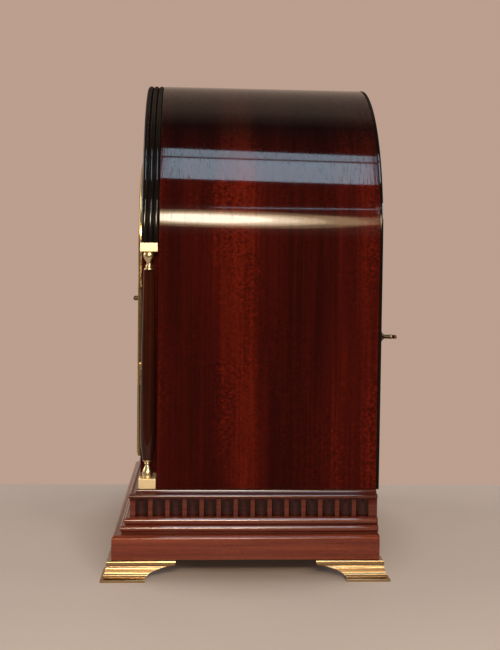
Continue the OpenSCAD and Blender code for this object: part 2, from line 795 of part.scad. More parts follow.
// A flat hand with a boss, a waist and a pointed blade, pointing to twelve
module blade(long, wide, boss) {
  circle(boss, $fn = 40);
  polygon([[-boss * 0.4, 0], [-wide * 0.3, long * 0.35], [-wide * 0.5, long * 0.55],
    [-wide * 0.2, long * 0.72], [0, long], [wide * 0.2, long * 0.72],
    [wide * 0.5, long * 0.55], [wide * 0.3, long * 0.35], [boss * 0.4, 0]]);
}

hand_t = 1;
hour_y = dial_y - 4.5;
minute_y = dial_y - 7.5;
minute_arbor_r = 1.6;
hour_pipe_r = 3.4;
// Hands set to ten minutes past ten
minute_angle = -60;
hour_angle = 55;

module minute_hand() color([0.08, 0.1, 0.22]) placed() {
  slab(minute_y - hand_t, minute_y) translate([0, dial_z]) rotate(minute_angle) blade(minute_len, 8, 4.6);
  bar(0, dial_z, minute_arbor_r, minute_y - 3, rear_y + plate_t);
  bar(0, dial_z, 2.6, minute_y - 3, minute_y);
  slab(plate_y + plate_t + 5, plate_y + plate_t + 5 + wheel_t) translate([0, dial_z])
    rotate(third_angle) wheel(great_teeth, centre_module, 5);
  slab(barrel_back - 3, barrel_back + 6) translate([0, dial_z]) rotate(270) pinion(great_module);
}

module hour_hand() color([0.08, 0.1, 0.22]) placed() {
  difference() {
    union() {
      slab(hour_y - hand_t, hour_y) translate([0, dial_z]) rotate(hour_angle) blade(hour_len, 10, 6.4);
      bar(0, dial_z, hour_pipe_r, hour_y - hand_t, plate_y - 2);
      bar(0, dial_z, 15, plate_y - 6, plate_y - 4);
    }
    bar(0, dial_z, minute_arbor_r + run_gap, hour_y - 5, plate_y);
  }
}

// Small hands on their own pipes through the dial
module small_hand(at, long, turn) {
  slab(dial_y - 3, dial_y - 2.2) translate(at) rotate(turn) blade(long, 4, 3.2);
  bar(at[0], at[1], hand_boss_r, dial_y - 3, plate_y - 6);
  bar(at[0], at[1], 4, dial_y + dial_t + 0.4, dial_y + dial_t + 2.4);
}

module silent_hand() color([0.08, 0.1, 0.22]) placed() small_hand(small_dials[0], small_dial_d / 2 - 5, 0);

module rate_hand() color([0.08, 0.1, 0.22]) placed() small_hand(small_dials[1], small_dial_d / 2 - 5, 0);

module tune_hand() color([0.08, 0.1, 0.22]) placed() small_hand(small_dials[2], arch_dial_d / 2 - 5, 0);

seat_front = board_t + post_t + 4;
seat_back = behind_y + 46;
cleat_w = 20;
module seat_cleats() color([0.5, 0.3, 0.17]) placed() {
  mirrored() translate([inner_r - cleat_w, seat_front, body_z + floor_t])
    cube([cleat_w, seat_back - seat_front, seat_z - seat_t - body_z - floor_t]);
}

module seat_board() color([0.5, 0.3, 0.17]) placed() {
  translate([-inner_r, seat_front, seat_z - seat_t])
    cube([2 * inner_r, behind_y - seat_front, seat_t]);
}

pillar_r = 4.5;
pillars = [[-plate_w / 2 + 9, -plate_low + 9], [plate_w / 2 - 9, -plate_low + 9],
  [-plate_w / 2 + 9, plate_high - 9], [plate_w / 2 - 9, plate_high - 9], [-40, plate_high - 9]];

// Outline shared by both plates, with the holes that the arbors turn in
module plate_outline() {
  difference() {
    translate([-plate_w / 2, seat_z]) square([plate_w, plate_low + plate_high]);
    translate([0, going_z]) circle(winding_arbor_d / 2 + run_gap);
    for (x = [-side_barrel_x, side_barrel_x])
      translate([x, side_barrel_z]) circle(winding_arbor_d / 2 + run_gap);
    translate([third_x, third_z]) circle(1.2 + run_gap);
    translate([escape_x, escape_z]) circle(1.2 + run_gap);
    translate([escape_x, pallet_z]) circle(1.5 + run_gap);
    translate([side_barrel_x, drum_z]) circle(2.5 + run_gap);
  }
}

module front_plate() color([0.78, 0.62, 0.32]) placed() {
  difference() {
    slab(plate_y, plate_y + plate_t) plate_outline();
    bar(0, dial_z, minute_arbor_r + run_gap, plate_y - 1, plate_y + plate_t + 1);
  }
}

module back_plate() color([0.78, 0.62, 0.32]) placed() {
  difference() {
    slab(rear_y, rear_y + plate_t) plate_outline();
    bar(0, dial_z, minute_arbor_r + run_gap, rear_y - 1, rear_y + plate_t + 1);
  }
}

module plate_pillars() color([0.8, 0.64, 0.34]) placed() {
  for (at = pillars) bar(at[0], dial_z + at[1], pillar_r, plate_y + plate_t, rear_y);
}

// A wheel with a rim, four crossings and pointed teeth. A tooth points along X.
module wheel(teeth, size, hub) {
  pitch = 360 / teeth;
  mid = size * teeth / 2;
  tip = mid + size * 0.75;
  root = mid - size * 1.05;
  rim = root - size * 2.2;
  difference() {
    polygon([for (i = [0 : teeth - 1], k = [0 : 3])
      let (a = pitch * (i + [-0.26, -0.09, 0.09, 0.26][k]))
      (k == 0 || k == 3 ? root : tip) * [cos(a), sin(a)]]);
    difference() {
      circle(rim, $fn = 96);
      circle(hub, $fn = 48);
      for (a = [0 : 90 : 270]) rotate(a + 45) translate([0, -size * 1.2]) square([mid, size * 2.4]);
    }
  }
}

// A pinion of eight leaves. A gap between leaves points along X.
module pinion(size) {
  pitch = 360 / leaf_count;
  mid = size * leaf_count / 2;
  tip = mid + size * 0.6;
  root = mid - size * 1.25;
  polygon([for (i = [0 : leaf_count - 1], k = [0 : 3])
    let (a = pitch * (i + 0.5 + [-0.17, -0.1, 0.1, 0.17][k]))
    (k == 0 || k == 3 ? root : tip) * [cos(a), sin(a)]]);
}

barrel_wall = 1.6;
// A spring barrel with its great wheel, hollow, bored for the winding arbor
module spring_barrel(x, z, y0, y1, wheel_y, size, turn) {
  difference() {
    union() {
      bar(x, z, barrel_d / 2, y0, y1);
      slab(wheel_y, wheel_y + wheel_t) translate([x, z]) rotate(turn) great_wheel(size);
    }
    bar(x, z, barrel_d / 2 - barrel_wall, y0 + barrel_wall, y1 - barrel_wall);
    bar(x, z, winding_arbor_d / 2 + run_gap, y0 - 5, y1 + 5);
  }
}

module great_wheel(size) {
  pitch = 360 / great_teeth;
  mid = size * great_teeth / 2;
  polygon([for (i = [0 : great_teeth - 1], k = [0 : 3])
    let (a = pitch * (i + [-0.26, -0.09, 0.09, 0.26][k]))
    (k == 0 || k == 3 ? mid - size * 1.05 : mid + size * 0.75) * [cos(a), sin(a)]]);
}

barrel_front = plate_y + plate_t + 11;
barrel_back = rear_y - 14;
module going_barrel() color([0.8, 0.64, 0.34]) placed()
  spring_barrel(0, going_z, barrel_front + 2, barrel_back, barrel_back, great_module, 90);

module strike_barrel() color([0.8, 0.64, 0.34]) placed()
  spring_barrel(-side_barrel_x, side_barrel_z, barrel_front, barrel_back - 2, barrel_front - wheel_t, chime_module, 90);

module chime_barrel() color([0.8, 0.64, 0.34]) placed()
  spring_barrel(side_barrel_x, side_barrel_z, barrel_front, barrel_back - 2, barrel_front - wheel_t, chime_module, 90);

// A winding arbor with its square behind the dial
module winding_arbor(x, z) {
  bar(x, z, winding_arbor_d / 2, plate_y, rear_y + plate_t);
  translate([x - 2, dial_y + dial_t + 1, z - 2]) cube([4, dial_gap - 1, 4]);
}

module going_arbor() color([0.6, 0.6, 0.62]) placed() winding_arbor(0, going_z);

module strike_arbor() color([0.6, 0.6, 0.62]) placed() winding_arbor(-side_barrel_x, side_barrel_z);

module chime_arbor() color([0.6, 0.6, 0.62]) placed() winding_arbor(side_barrel_x, side_barrel_z);

third_y = plate_y + plate_t + 5;
escape_y = plate_y + plate_t + 22;
module third_wheel() color([0.8, 0.64, 0.34]) placed() {
  bar(third_x, third_z, 1.2, plate_y, rear_y + plate_t);
  slab(third_y - 2, third_y + wheel_t + 2) translate([third_x, third_z])
    rotate(third_angle + 180) pinion(centre_module);
  slab(escape_y - 8, escape_y - 8 + 1.8) translate([third_x, third_z])
    rotate(escape_angle) wheel(great_teeth, third_module, 4.5);
}

// Pointed escape teeth that lean forward
module escape_wheel() color([0.8, 0.64, 0.34]) placed() {
  pitch = 360 / escape_teeth;
  bar(escape_x, escape_z, 1.2, plate_y, rear_y + plate_t);
  slab(escape_y - 9, escape_y - 4) translate([escape_x, escape_z])
    rotate(escape_angle + 180) pinion(third_module);
  slab(escape_y, escape_y + 1.4) translate([escape_x, escape_z]) difference() {
    polygon([for (i = [0 : escape_teeth - 1], k = [0 : 1])
      let (a = pitch * (i + k * 0.35))
      (k == 0 ? escape_r : escape_r - 2) * [cos(a), sin(a)]]);
    difference() {
      circle(escape_r - 3.6);
      circle(3.4);
      for (a = [0 : 90 : 270]) rotate(a) translate([0, -0.9]) square([escape_r, 1.8]);
    }
  }
}

// Anchor over the escape wheel, its arbor, and the crutch behind the back plate
module pallet_anchor() color([0.6, 0.6, 0.62]) placed() {
  arm = escape_r * 1.02;
  beak = 10.4;
  bar(escape_x, pallet_z, 1.5, plate_y, behind_y + 3);
  slab(escape_y - 0.4, escape_y + 1.8) translate([escape_x, pallet_z]) {
    circle(3.4);
    polygon([[-2.4, 2], [-arm, -5.4], [-arm + 1.6, -beak], [-arm + 3.2, -5.6], [0, -2.2],
      [arm - 3.2, -5.6], [arm - 1.6, -beak], [arm, -5.4], [2.4, 2]]);
  }
  slab(behind_y + 1, behind_y + 3) translate([escape_x, pallet_z]) {
    circle(3.4);
    translate([-1.5, -34]) square([3, 34]);
  }
  bar(escape_x, pallet_z - 33, 1.5, behind_y + 1, pendulum_y + 3);
}

cock_gap = 4;
// Cock that the pendulum hangs from
module back_cock() color([0.8, 0.64, 0.34]) placed() {
  translate([escape_x - 14, behind_y, cock_z + 8]) cube([28, 4, 10]);
  translate([escape_x - 6, behind_y, cock_z + 8]) cube([12, pendulum_y + 5 - behind_y, 5]);
  difference() {
    translate([escape_x - 6, pendulum_y - 5, cock_z - 3]) cube([12, 10, 12]);
    translate([escape_x - 7, pendulum_y - 2, cock_z - 4]) cube([14, cock_gap, 12]);
  }
  bar(escape_x, cock_z, 1, pendulum_y - 5, pendulum_y + 5);
}

// Pendulum: a hanging strip, a rod with a slot for the crutch pin, and the bob
module pendulum() color([0.8, 0.64, 0.34]) placed() {
  difference() {
    union() {
      slab(pendulum_y - 1, pendulum_y + 1) translate([escape_x, cock_z]) {
        circle(3);
        translate([-1.6, -pendulum_len]) square([3.2, pendulum_len]);
        translate([-4, -38]) square([8, 10]);
      }
      bar(escape_x, cock_z - pendulum_len, bob_d / 2, pendulum_y - bob_t / 2, pendulum_y + bob_t / 2);
      bar(escape_x, cock_z - pendulum_len - bob_d / 2 - 4, 2.5, pendulum_y - 1.5, pendulum_y + 1.5);
    }
    bar(escape_x, cock_z, 1 + run_gap, pendulum_y - 3, pendulum_y + 3);
    bar(escape_x, cock_z - 33, 1.5 + run_gap, pendulum_y - 3, pendulum_y + 3);
  }
  slab(pendulum_y - 1, pendulum_y + 1) translate([escape_x - 1.2, cock_z - pendulum_len - bob_d / 2 - 4])
    square([2.4, 6]);
}

// Pinned drum that lifts the hammers, on the arbor of the second chime wheel
module pin_barrel() color([0.8, 0.64, 0.34]) placed() {
  drum_y = behind_y + 3;
  bar(side_barrel_x, drum_z, 2.5, plate_y, drum_y);
  slab(barrel_front - wheel_t, barrel_front) translate([side_barrel_x, drum_z])
    rotate(270 + 180 / drum_teeth) wheel(drum_teeth, chime_module, 5);
  bar(side_barrel_x, drum_z, drum_r, drum_y, drum_y + drum_len);
  for (row = [0 : 3], k = [0 : 5])
    translate([side_barrel_x, hammer_y + row * hammer_pitch, drum_z])
      rotate([0, 60 * k + 15 * row + 7, 0]) translate([0, 0, drum_r - 1])
        cylinder(r = 0.8, h = pin_tall + 1, $fn = 16);
}

// A hammer: hub on the rod, tail up to the pinned drum, arm down to the head
module hammer(row) {
  y = hammer_y + row * hammer_pitch;
  arm = [head_x - hammer_x, head_z - hammer_z];
  difference() {
    union() {
      bar(hammer_x, hammer_z, 5, y - 2.6, y + 2.6);
      slab(y - 1.2, y + 1.2) translate([hammer_x, hammer_z]) {
        polygon([[-3, -3], [-14.6, 10.2], [-13.4, 12.4], [3, 3]]);
        polygon([[-3, 0], arm + [-1.5, 0], arm + [1.5, 0], [3, 0]]);
      }
      bar(head_x, head_z, head_r, y - 3.6, y + 3.6);
    }
    bar(hammer_x, hammer_z, rod_r + run_gap, y - 4, y + 4);
  }
}

module hammer_1() color([0.5, 0.45, 0.4]) placed() hammer(0);

module hammer_2() color([0.5, 0.45, 0.4]) placed() hammer(1);

module hammer_3() color([0.5, 0.45, 0.4]) placed() hammer(2);

module hammer_4() color([0.5, 0.45, 0.4]) placed() hammer(3);

// Fixed rod through the hammers, with a nut at its end
module hammer_rod() color([0.6, 0.6, 0.62]) placed() {
  end_y = hammer_y + 3.5 * hammer_pitch + 1;
  bar(hammer_x, hammer_z, rod_r, behind_y, end_y);
  bar(hammer_x, hammer_z, 5, end_y, end_y + 3);
}

gong_x = -(inner_r - cleat_w - 3 - gong_block_w);
gong_rows = 3 * hammer_pitch;
gong_step = 5;
gong_margin = 6.5;
module gong_block() color([0.12, 0.12, 0.13]) placed() {
  translate([gong_x - gong_block_w, hammer_y - gong_margin, body_z + floor_t])
    cube([gong_block_w, gong_rows + 2 * gong_margin, gong_z + 2.5 * gong_d - body_z - floor_t]);
}

module gong_rods() color([0.62, 0.55, 0.4]) placed() {
  for (row = [0 : 3]) translate([gong_x, hammer_y + row * hammer_pitch, gong_z])
    rotate([0, 90, 0]) cylinder(d = gong_d, h = head_x + gong_over - gong_x - gong_step * row);
}

base_rail();
step_moulding();
fluted_frieze();
cap_moulding();
floor_board();
front_feet();
back_feet();
carcase();
front_board();
reeded_arch();
column_shaft_left();
column_shaft_right();
column_capitals();
column_bases();
back_frame();
back_door();
back_fret();
fret_cloth();
back_hinge_leaves();
back_door_hinges();
back_escutcheon();
back_key();
front_door();
front_glass();
front_hinge_leaves();
front_door_hinges();
front_knob();
dial_plate();
chapter_ring();
spandrels();
small_dial_rings();
minute_hand();
hour_hand();
silent_hand();
rate_hand();
tune_hand();
seat_cleats();
seat_board();
front_plate();
back_plate();
plate_pillars();
going_barrel();
strike_barrel();
chime_barrel();
going_arbor();
strike_arbor();
chime_arbor();
third_wheel();
escape_wheel();
pallet_anchor();
back_cock();
pendulum();
pin_barrel();
hammer_1();
hammer_2();
hammer_3();
hammer_4();
hammer_rod();
gong_block();
gong_rods();
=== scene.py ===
# %% [markdown]
# # A chiming bracket clock, dressed for its photograph
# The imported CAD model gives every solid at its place. This script gives it its finish: figured
# mahogany under French polish, polished and matt brass, silvered dial rings and blued hands.
# Pieces that need softer or finer forms than the solids are modelled here and replace them.

import math

import bpy
from mathutils import Matrix, Quaternion, Vector


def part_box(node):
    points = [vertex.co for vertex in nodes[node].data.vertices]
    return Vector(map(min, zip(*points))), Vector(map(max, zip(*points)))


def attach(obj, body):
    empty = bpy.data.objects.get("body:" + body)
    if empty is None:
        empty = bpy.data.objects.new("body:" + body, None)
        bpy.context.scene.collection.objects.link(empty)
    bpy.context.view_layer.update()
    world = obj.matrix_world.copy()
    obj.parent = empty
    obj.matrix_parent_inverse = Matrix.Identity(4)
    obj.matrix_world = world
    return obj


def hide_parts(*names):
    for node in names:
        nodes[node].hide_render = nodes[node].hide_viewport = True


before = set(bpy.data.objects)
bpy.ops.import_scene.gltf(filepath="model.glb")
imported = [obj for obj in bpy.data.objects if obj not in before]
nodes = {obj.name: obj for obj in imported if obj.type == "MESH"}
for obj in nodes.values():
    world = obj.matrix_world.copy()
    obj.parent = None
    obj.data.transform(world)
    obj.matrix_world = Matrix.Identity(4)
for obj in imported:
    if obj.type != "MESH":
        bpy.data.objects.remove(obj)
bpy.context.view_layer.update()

# %% [markdown]
# ## Places that many pieces share
# All sizes are in metres, in the frame of the CAD model: X runs across the dial, which faces -Y,
# and Z is up. The boxes of the CAD nodes give most of the places. The few that no box shows, such
# as those of the winding holes, are typed here again as the CAD source has them.

# %% Places taken from the CAD nodes
MM = 0.001
case_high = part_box("carcase")[1]
board_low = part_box("front_board")[0]
body_radius = case_high.x
spring_height = case_high.z - body_radius
front_plane = board_low.y
dial_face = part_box("dial_plate")[0].y
ring_low, ring_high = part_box("chapter_ring")
dial_height = (ring_low.z + ring_high.z) / 2
print("springing at", round(spring_height, 4), "dial centre at", round(dial_height, 4))


# %% [markdown]
# ## The camera
# The photograph shows the clock's right side, square on and from a little above the middle of it.
# Its lens and place were worked out from the straight edges of the case and the curve of the top.

# %% Camera at the photograph's place
camera_place = Vector((1.08595, -0.05724, 0.27044))
looking = Vector((-0.99743, 0.05749, -0.04283)).normalized()
roll = -0.01247
level_right = looking.cross(Vector((0, 0, 1))).normalized()
level_up = level_right.cross(looking)
right = level_right * math.cos(roll) - level_up * math.sin(roll)
up = right.cross(looking)
camera = bpy.data.cameras.new("photo_camera")
camera.sensor_fit = "VERTICAL"
camera.sensor_height = 36
camera.lens = 55.2
camera_object = bpy.data.objects.new("photo_camera", camera)
camera_object.matrix_world = Matrix(
    (
        (right.x, up.x, -looking.x, camera_place.x),
        (right.y, up.y, -looking.y, camera_place.y),
        (right.z, up.z, -looking.z, camera_place.z),
        (0, 0, 0, 1),
    )
)
bpy.context.scene.collection.objects.link(camera_object)
bpy.context.scene.camera = camera_object
bpy.context.scene.view_settings.view_transform = "Standard"
print("camera looks along", [round(v, 3) for v in looking])


# %% [markdown]
# ## A few helpers
# An operator acts on everything that is selected, so each piece starts with a clean selection.
# Most pieces of a clock are turned, or are a moulding of one section, or are sawn from sheet. A
# turned piece is a line spun round an axis. A sawn one is an outline filled and pulled to thickness.


# %% Helpers for nodes and sockets
def add(tree, kind, **values):
    """A new node of a material or group, with its settings."""
    made = tree.nodes.new(kind)
    for key, value in values.items():
        setattr(made, key, value)
    return made


def feed(tree, source, target):
    tree.links.new(source, target)


# %% Helpers that select and finish
def rest():
    """Leaves edit mode and lets go of every object."""
    if bpy.context.object and bpy.context.object.mode != "OBJECT":
        bpy.ops.object.mode_set(mode="OBJECT")
    bpy.ops.object.select_all(action="DESELECT")


def hold(piece):
    """Makes one object the selected and active one."""
    rest()
    piece.select_set(True)
    bpy.context.view_layer.objects.active = piece
    return piece


def settle(piece):
    """Moves an object's place, turn and scale into its mesh."""
    hold(piece)
    bpy.ops.object.transform_apply(location=True, rotation=True, scale=True)
    return piece


def tidy(piece, near=1e-6):
    """Welds doubled points and turns every face outwards."""
    hold(piece)
    bpy.ops.object.mode_set(mode="EDIT")
    bpy.ops.mesh.select_all(action="SELECT")
    bpy.ops.mesh.remove_doubles(threshold=near)
    bpy.ops.mesh.normals_make_consistent(inside=False)
    bpy.ops.object.mode_set(mode="OBJECT")
    return piece


def soften(piece, width, steps=2, angle=32):
    """Rounds the sharp edges, as a file or a cabinet scraper would."""
    hold(piece)
    rounding = piece.modifiers.new("edges", "BEVEL")
    rounding.width = width
    rounding.segments = steps
    rounding.limit_method = "ANGLE"
    rounding.angle_limit = math.radians(angle)
    rounding.use_clamp_overlap = True
    bpy.ops.object.modifier_apply(modifier="edges")
    return piece


def weigh(piece):
    """Shades each corner by its largest faces, so that a flat face beside a round one stays flat."""
    shading = piece.modifiers.new("shading", "WEIGHTED_NORMAL")
    shading.keep_sharp = True
    return shading


def smooth(piece, angle=38, weighed=True):
    """Shades soft curves smooth, and leaves the edges above an angle crisp."""
    hold(piece)
    bpy.ops.object.shade_smooth_by_angle(angle=math.radians(angle))
    if weighed:
        weigh(piece)
        bpy.ops.object.modifier_apply(modifier="shading")
    return piece


def finished(piece, name, body, finish, replaced=()):
    """Names a piece, gives it its finish and lets it ride on its CAD body."""
    settle(piece)
    piece.name = name
    piece.data.name = name
    piece.data.materials.clear()
    piece.data.materials.append(finish)
    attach(piece, body)
    if replaced:
        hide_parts(*replaced)
    print(name, len(piece.data.polygons), "faces")
    return piece


def joined(pieces):
    """Several objects made one, so that they are one piece of the clock."""
    rest()
    for piece in pieces:
        piece.select_set(True)
    bpy.context.view_layer.objects.active = pieces[0]
    if len(pieces) > 1:
        bpy.ops.object.join()
    return bpy.context.view_layer.objects.active


def doubled(piece, turn=None):
    """A copy with its own mesh, moved by a matrix."""
    settle(piece)
    twin = piece.copy()
    twin.data = piece.data.copy()
    bpy.context.scene.collection.objects.link(twin)
    if turn is not None:
        twin.data.transform(turn)
        if turn.determinant() < 0:
            twin.data.flip_normals()
    return twin


def mirrored_pair(piece):
    """A piece of the right side and its mirror image on the left, as one object."""
    return joined([piece, doubled(piece, Matrix.Scale(-1, 4, (1, 0, 0)))])


# %% Helpers that shape
def drawn(points, close=False):
    """A line drawn point by point, by extruding one vertex, left in edit mode."""
    rest()
    bpy.ops.mesh.primitive_plane_add(size=0.001, location=points[0])
    bpy.ops.object.mode_set(mode="EDIT")
    bpy.ops.mesh.merge(type="CENTER")
    for before, after in zip(points, points[1:]):
        step = Vector(after) - Vector(before)
        bpy.ops.mesh.extrude_region_move(TRANSFORM_OT_translate={"value": step})
    if close:
        bpy.ops.mesh.select_all(action="SELECT")
        bpy.ops.mesh.remove_doubles(threshold=1e-7)
        bpy.ops.mesh.edge_face_add()
    return bpy.context.object


def sawn(points, pull):
    """A flat outline filled and pulled into a solid."""
    piece = drawn(points, close=True)
    bpy.ops.mesh.extrude_region_move(TRANSFORM_OT_translate={"value": pull})
    bpy.ops.object.mode_set(mode="OBJECT")
    return tidy(piece)


def turned(section, centre, axis=(0, 0, 1), steps=48):
    """A turned piece. The section is (radius, distance along the axis) from end to end."""
    centre, axis = Vector(centre), Vector(axis)
    side = Vector((1, 0, 0)) if abs(axis.x) < 0.5 else Vector((0, 1, 0))
    piece = drawn([centre + axis * along + side * radius for radius, along in section])
    bpy.ops.mesh.select_all(action="SELECT")
    bpy.ops.mesh.spin(steps=steps, angle=2 * math.pi, center=centre, axis=axis)
    bpy.ops.object.mode_set(mode="OBJECT")
    return tidy(piece, near=2e-6)


def eased(points, rounds=2):
    """Rounds a drawn section by cutting its corners, and keeps its two ends."""
    for _ in range(rounds):
        cut = [points[0]]
        for (a, b), (c, d) in zip(points, points[1:]):
            cut += [(0.75 * a + 0.25 * c, 0.75 * b + 0.25 * d), (0.25 * a + 0.75 * c, 0.25 * b + 0.75 * d)]
        points = cut + [points[-1]]
    return points


def block(low, high, round_off):
    """A sawn block with its edges eased."""
    rest()
    middle = [(a + b) / 2 for a, b in zip(low, high)]
    size = [b - a for a, b in zip(low, high)]
    bpy.ops.mesh.primitive_cube_add(size=1, location=middle, scale=size)
    return soften(settle(bpy.context.object), round_off)


def in_mm(pairs):
    """Pairs of millimetres as pairs of metres."""
    return [(a * MM, b * MM) for a, b in pairs]


def cut_away(piece, cutters):
    """Boolean difference, with its cutters taken away afterwards."""
    for cutter in cutters:
        hold(piece)
        cut = piece.modifiers.new("cut", "BOOLEAN")
        cut.operation = "DIFFERENCE"
        cut.solver = "EXACT"
        cut.object = cutter
        bpy.ops.object.modifier_apply(modifier="cut")
        bpy.data.objects.remove(cutter)
    return piece


def sliced(piece, place, normal, keep_front=False):
    """Cuts a piece by a plane and keeps one side of it."""
    hold(piece)
    bpy.ops.object.mode_set(mode="EDIT")
    bpy.ops.mesh.select_all(action="SELECT")
    bpy.ops.mesh.bisect(plane_co=place, plane_no=normal, clear_inner=keep_front, clear_outer=not keep_front)
    bpy.ops.object.mode_set(mode="OBJECT")
    return piece


# %% [markdown]
# ## Shared effects for the finishes
# The woods start from one pattern, and the metals and paints from another. Each is a node group,
# built once, that gives only colours, masks and heights. The shader itself stays in each material.


# %% A group maker
def new_group(name, inputs, outputs):
    """An empty shader group with named sockets."""
    group = bpy.data.node_groups.new(name, "ShaderNodeTree")
    for label, kind, value in inputs:
        socket = group.interface.new_socket(label, in_out="INPUT", socket_type=kind)
        if value is not None:
            socket.default_value = value
    for label, kind in outputs:
        group.interface.new_socket(label, in_out="OUTPUT", socket_type=kind)
    return group, group.nodes.new("NodeGroupInput"), group.nodes.new("NodeGroupOutput")


def sum_of(tree, operation, a, b=None):
    """A Math node fed by sockets or plain numbers."""
    maths = add(tree, "ShaderNodeMath", operation=operation)
    for index, value in enumerate((a, b)):
        if value is None:
            continue
        if isinstance(value, (int, float)):
            maths.inputs[index].default_value = value
        else:
            feed(tree, value, maths.inputs[index])
    return maths.outputs[0]


def ramp(tree, factor, stops):
    """A colour ramp with (place, grey or colour) stops."""
    made = add(tree, "ShaderNodeValToRGB")
    elements = made.color_ramp.elements
    while len(elements) < len(stops):
        elements.new(0.5)
    for element, (place, colour) in zip(elements, stops):
        element.position = place
        element.color = (*colour, 1) if isinstance(colour, tuple) else (colour, colour, colour, 1)
    feed(tree, factor, made.inputs["Fac"])
    return made.outputs["Color"]


# %% [markdown]
# ### Wood
# Mahogany shows three things at once: broad ribbons of lighter and darker wood along the grain,
# a mottle of short bars across it that shows in the light ribbons, and fine dark pores. Noises
# stretched along the grain make ribbons, streaks and pores, and one squashed the other way makes
# the mottle. Ribbon lets a material say where its broad ribbons lie.

# %% The wood figure
wood, wood_in, wood_out = new_group(
    "wood_figure",
    [
        ("Vector", "NodeSocketVector", None),
        ("Ribbon", "NodeSocketFloat", 0.5),
        ("Dark", "NodeSocketColor", (0.02, 0.004, 0.003, 1)),
        ("Middle", "NodeSocketColor", (0.07, 0.009, 0.004, 1)),
        ("Light", "NodeSocketColor", (0.18, 0.03, 0.009, 1)),
        ("Mottle", "NodeSocketFloat", 0.5),
    ],
    [("Color", "NodeSocketColor"), ("Pores", "NodeSocketFloat"), ("Height", "NodeSocketFloat")],
)


def stretched(tree, source, scale, detail, roughness, size=1.0):
    """Noise stretched along the grain, which runs along the vector's Z."""
    mapping = add(tree, "ShaderNodeMapping")
    mapping.inputs["Scale"].default_value = scale
    feed(tree, source, mapping.inputs["Vector"])
    noise = add(tree, "ShaderNodeTexNoise")
    noise.inputs["Scale"].default_value = size
    noise.inputs["Detail"].default_value = detail
    noise.inputs["Roughness"].default_value = roughness
    feed(tree, mapping.outputs[0], noise.inputs["Vector"])
    return noise.outputs["Fac"]


source = wood_in.outputs["Vector"]
ribbon = wood_in.outputs["Ribbon"]
ribbons = stretched(wood, source, (42, 42, 1.8), 3, 0.5)
streaks = stretched(wood, source, (330, 330, 6), 3, 0.6)
bars = stretched(wood, source, (330, 330, 430), 3, 0.62)
pores = stretched(wood, source, (1500, 1500, 60), 2, 0.6)
patches = stretched(wood, source, (24, 24, 12), 2, 0.5)
base = sum_of(wood, "ADD", sum_of(wood, "MULTIPLY", ribbons, 0.45), sum_of(wood, "MULTIPLY", ribbon, 0.26))
base = sum_of(wood, "ADD", base, sum_of(wood, "MULTIPLY", streaks, 0.28))
patchy = ramp(wood, patches, [(0.42, 0.3), (0.6, 1.0)])
bar_depth = sum_of(wood, "MULTIPLY", patchy, sum_of(wood, "ADD", ribbon, 0.25))
bar_depth = sum_of(wood, "MULTIPLY", wood_in.outputs["Mottle"], bar_depth)
bar_lift = sum_of(wood, "MULTIPLY", sum_of(wood, "SUBTRACT", bars, 0.5), bar_depth)
tone = sum_of(wood, "ADD", base, bar_lift)
spread = add(wood, "ShaderNodeMapRange")
spread.inputs["From Min"].default_value = 0.34
spread.inputs["From Max"].default_value = 0.68
feed(wood, tone, spread.inputs["Value"])
low_half = add(wood, "ShaderNodeMix", data_type="RGBA")
high_half = add(wood, "ShaderNodeMix", data_type="RGBA")
doubled_tone = sum_of(wood, "MULTIPLY", spread.outputs[0], 2.0)
feed(wood, sum_of(wood, "MINIMUM", doubled_tone, 1.0), low_half.inputs[0])
feed(wood, wood_in.outputs["Dark"], low_half.inputs[6])
feed(wood, wood_in.outputs["Middle"], low_half.inputs[7])
past_middle = sum_of(wood, "SUBTRACT", doubled_tone, 1.0)
feed(wood, sum_of(wood, "MAXIMUM", past_middle, 0.0), high_half.inputs[0])
feed(wood, low_half.outputs[2], high_half.inputs[6])
feed(wood, wood_in.outputs["Light"], high_half.inputs[7])
pore_mask = ramp(wood, pores, [(0.30, 1.0), (0.40, 0.0)])
darker = add(wood, "ShaderNodeMix", data_type="RGBA", blend_type="MULTIPLY")
feed(wood, sum_of(wood, "MULTIPLY", pore_mask, 0.55), darker.inputs[0])
feed(wood, high_half.outputs[2], darker.inputs[6])
darker.inputs[7].default_value = (0.35, 0.3, 0.28, 1)
feed(wood, darker.outputs[2], wood_out.inputs["Color"])
feed(wood, pore_mask, wood_out.inputs["Pores"])
feed(wood, sum_of(wood, "ADD", streaks, sum_of(wood, "MULTIPLY", pore_mask, -0.6)), wood_out.inputs["Height"])
print("wood figure group has", len(wood.nodes), "nodes")

# %% [markdown]
# ### Metal
# Polished brass is never even: it carries faint rubbing marks, a slow drift of colour where the
# lacquer or the tarnish is thicker, and a few darker specks. Matt brass has a finer, denser grain.

# %% The metal surface
metal, metal_in, metal_out = new_group(
    "metal_surface",
    [
        ("Vector", "NodeSocketVector", None),
        ("Bright", "NodeSocketColor", (0.8, 0.6, 0.28, 1)),
        ("Dull", "NodeSocketColor", (0.5, 0.33, 0.13, 1)),
        ("Polish", "NodeSocketFloat", 0.16),
        ("Haze", "NodeSocketFloat", 0.2),
    ],
    [("Color", "NodeSocketColor"), ("Roughness", "NodeSocketFloat"), ("Height", "NodeSocketFloat")],
)
source = metal_in.outputs["Vector"]
drift = stretched(metal, source, (45, 45, 45), 3, 0.55)
rubbing = stretched(metal, source, (900, 260, 1300), 2, 0.6)
specks = stretched(metal, source, (420, 420, 420), 4, 0.7)
dulling = sum_of(metal, "ADD", sum_of(metal, "MULTIPLY", ramp(metal, drift, [(0.38, 0.0), (0.7, 1.0)]), 0.55),
                 sum_of(metal, "MULTIPLY", ramp(metal, specks, [(0.62, 0.0), (0.74, 1.0)]), 0.4))
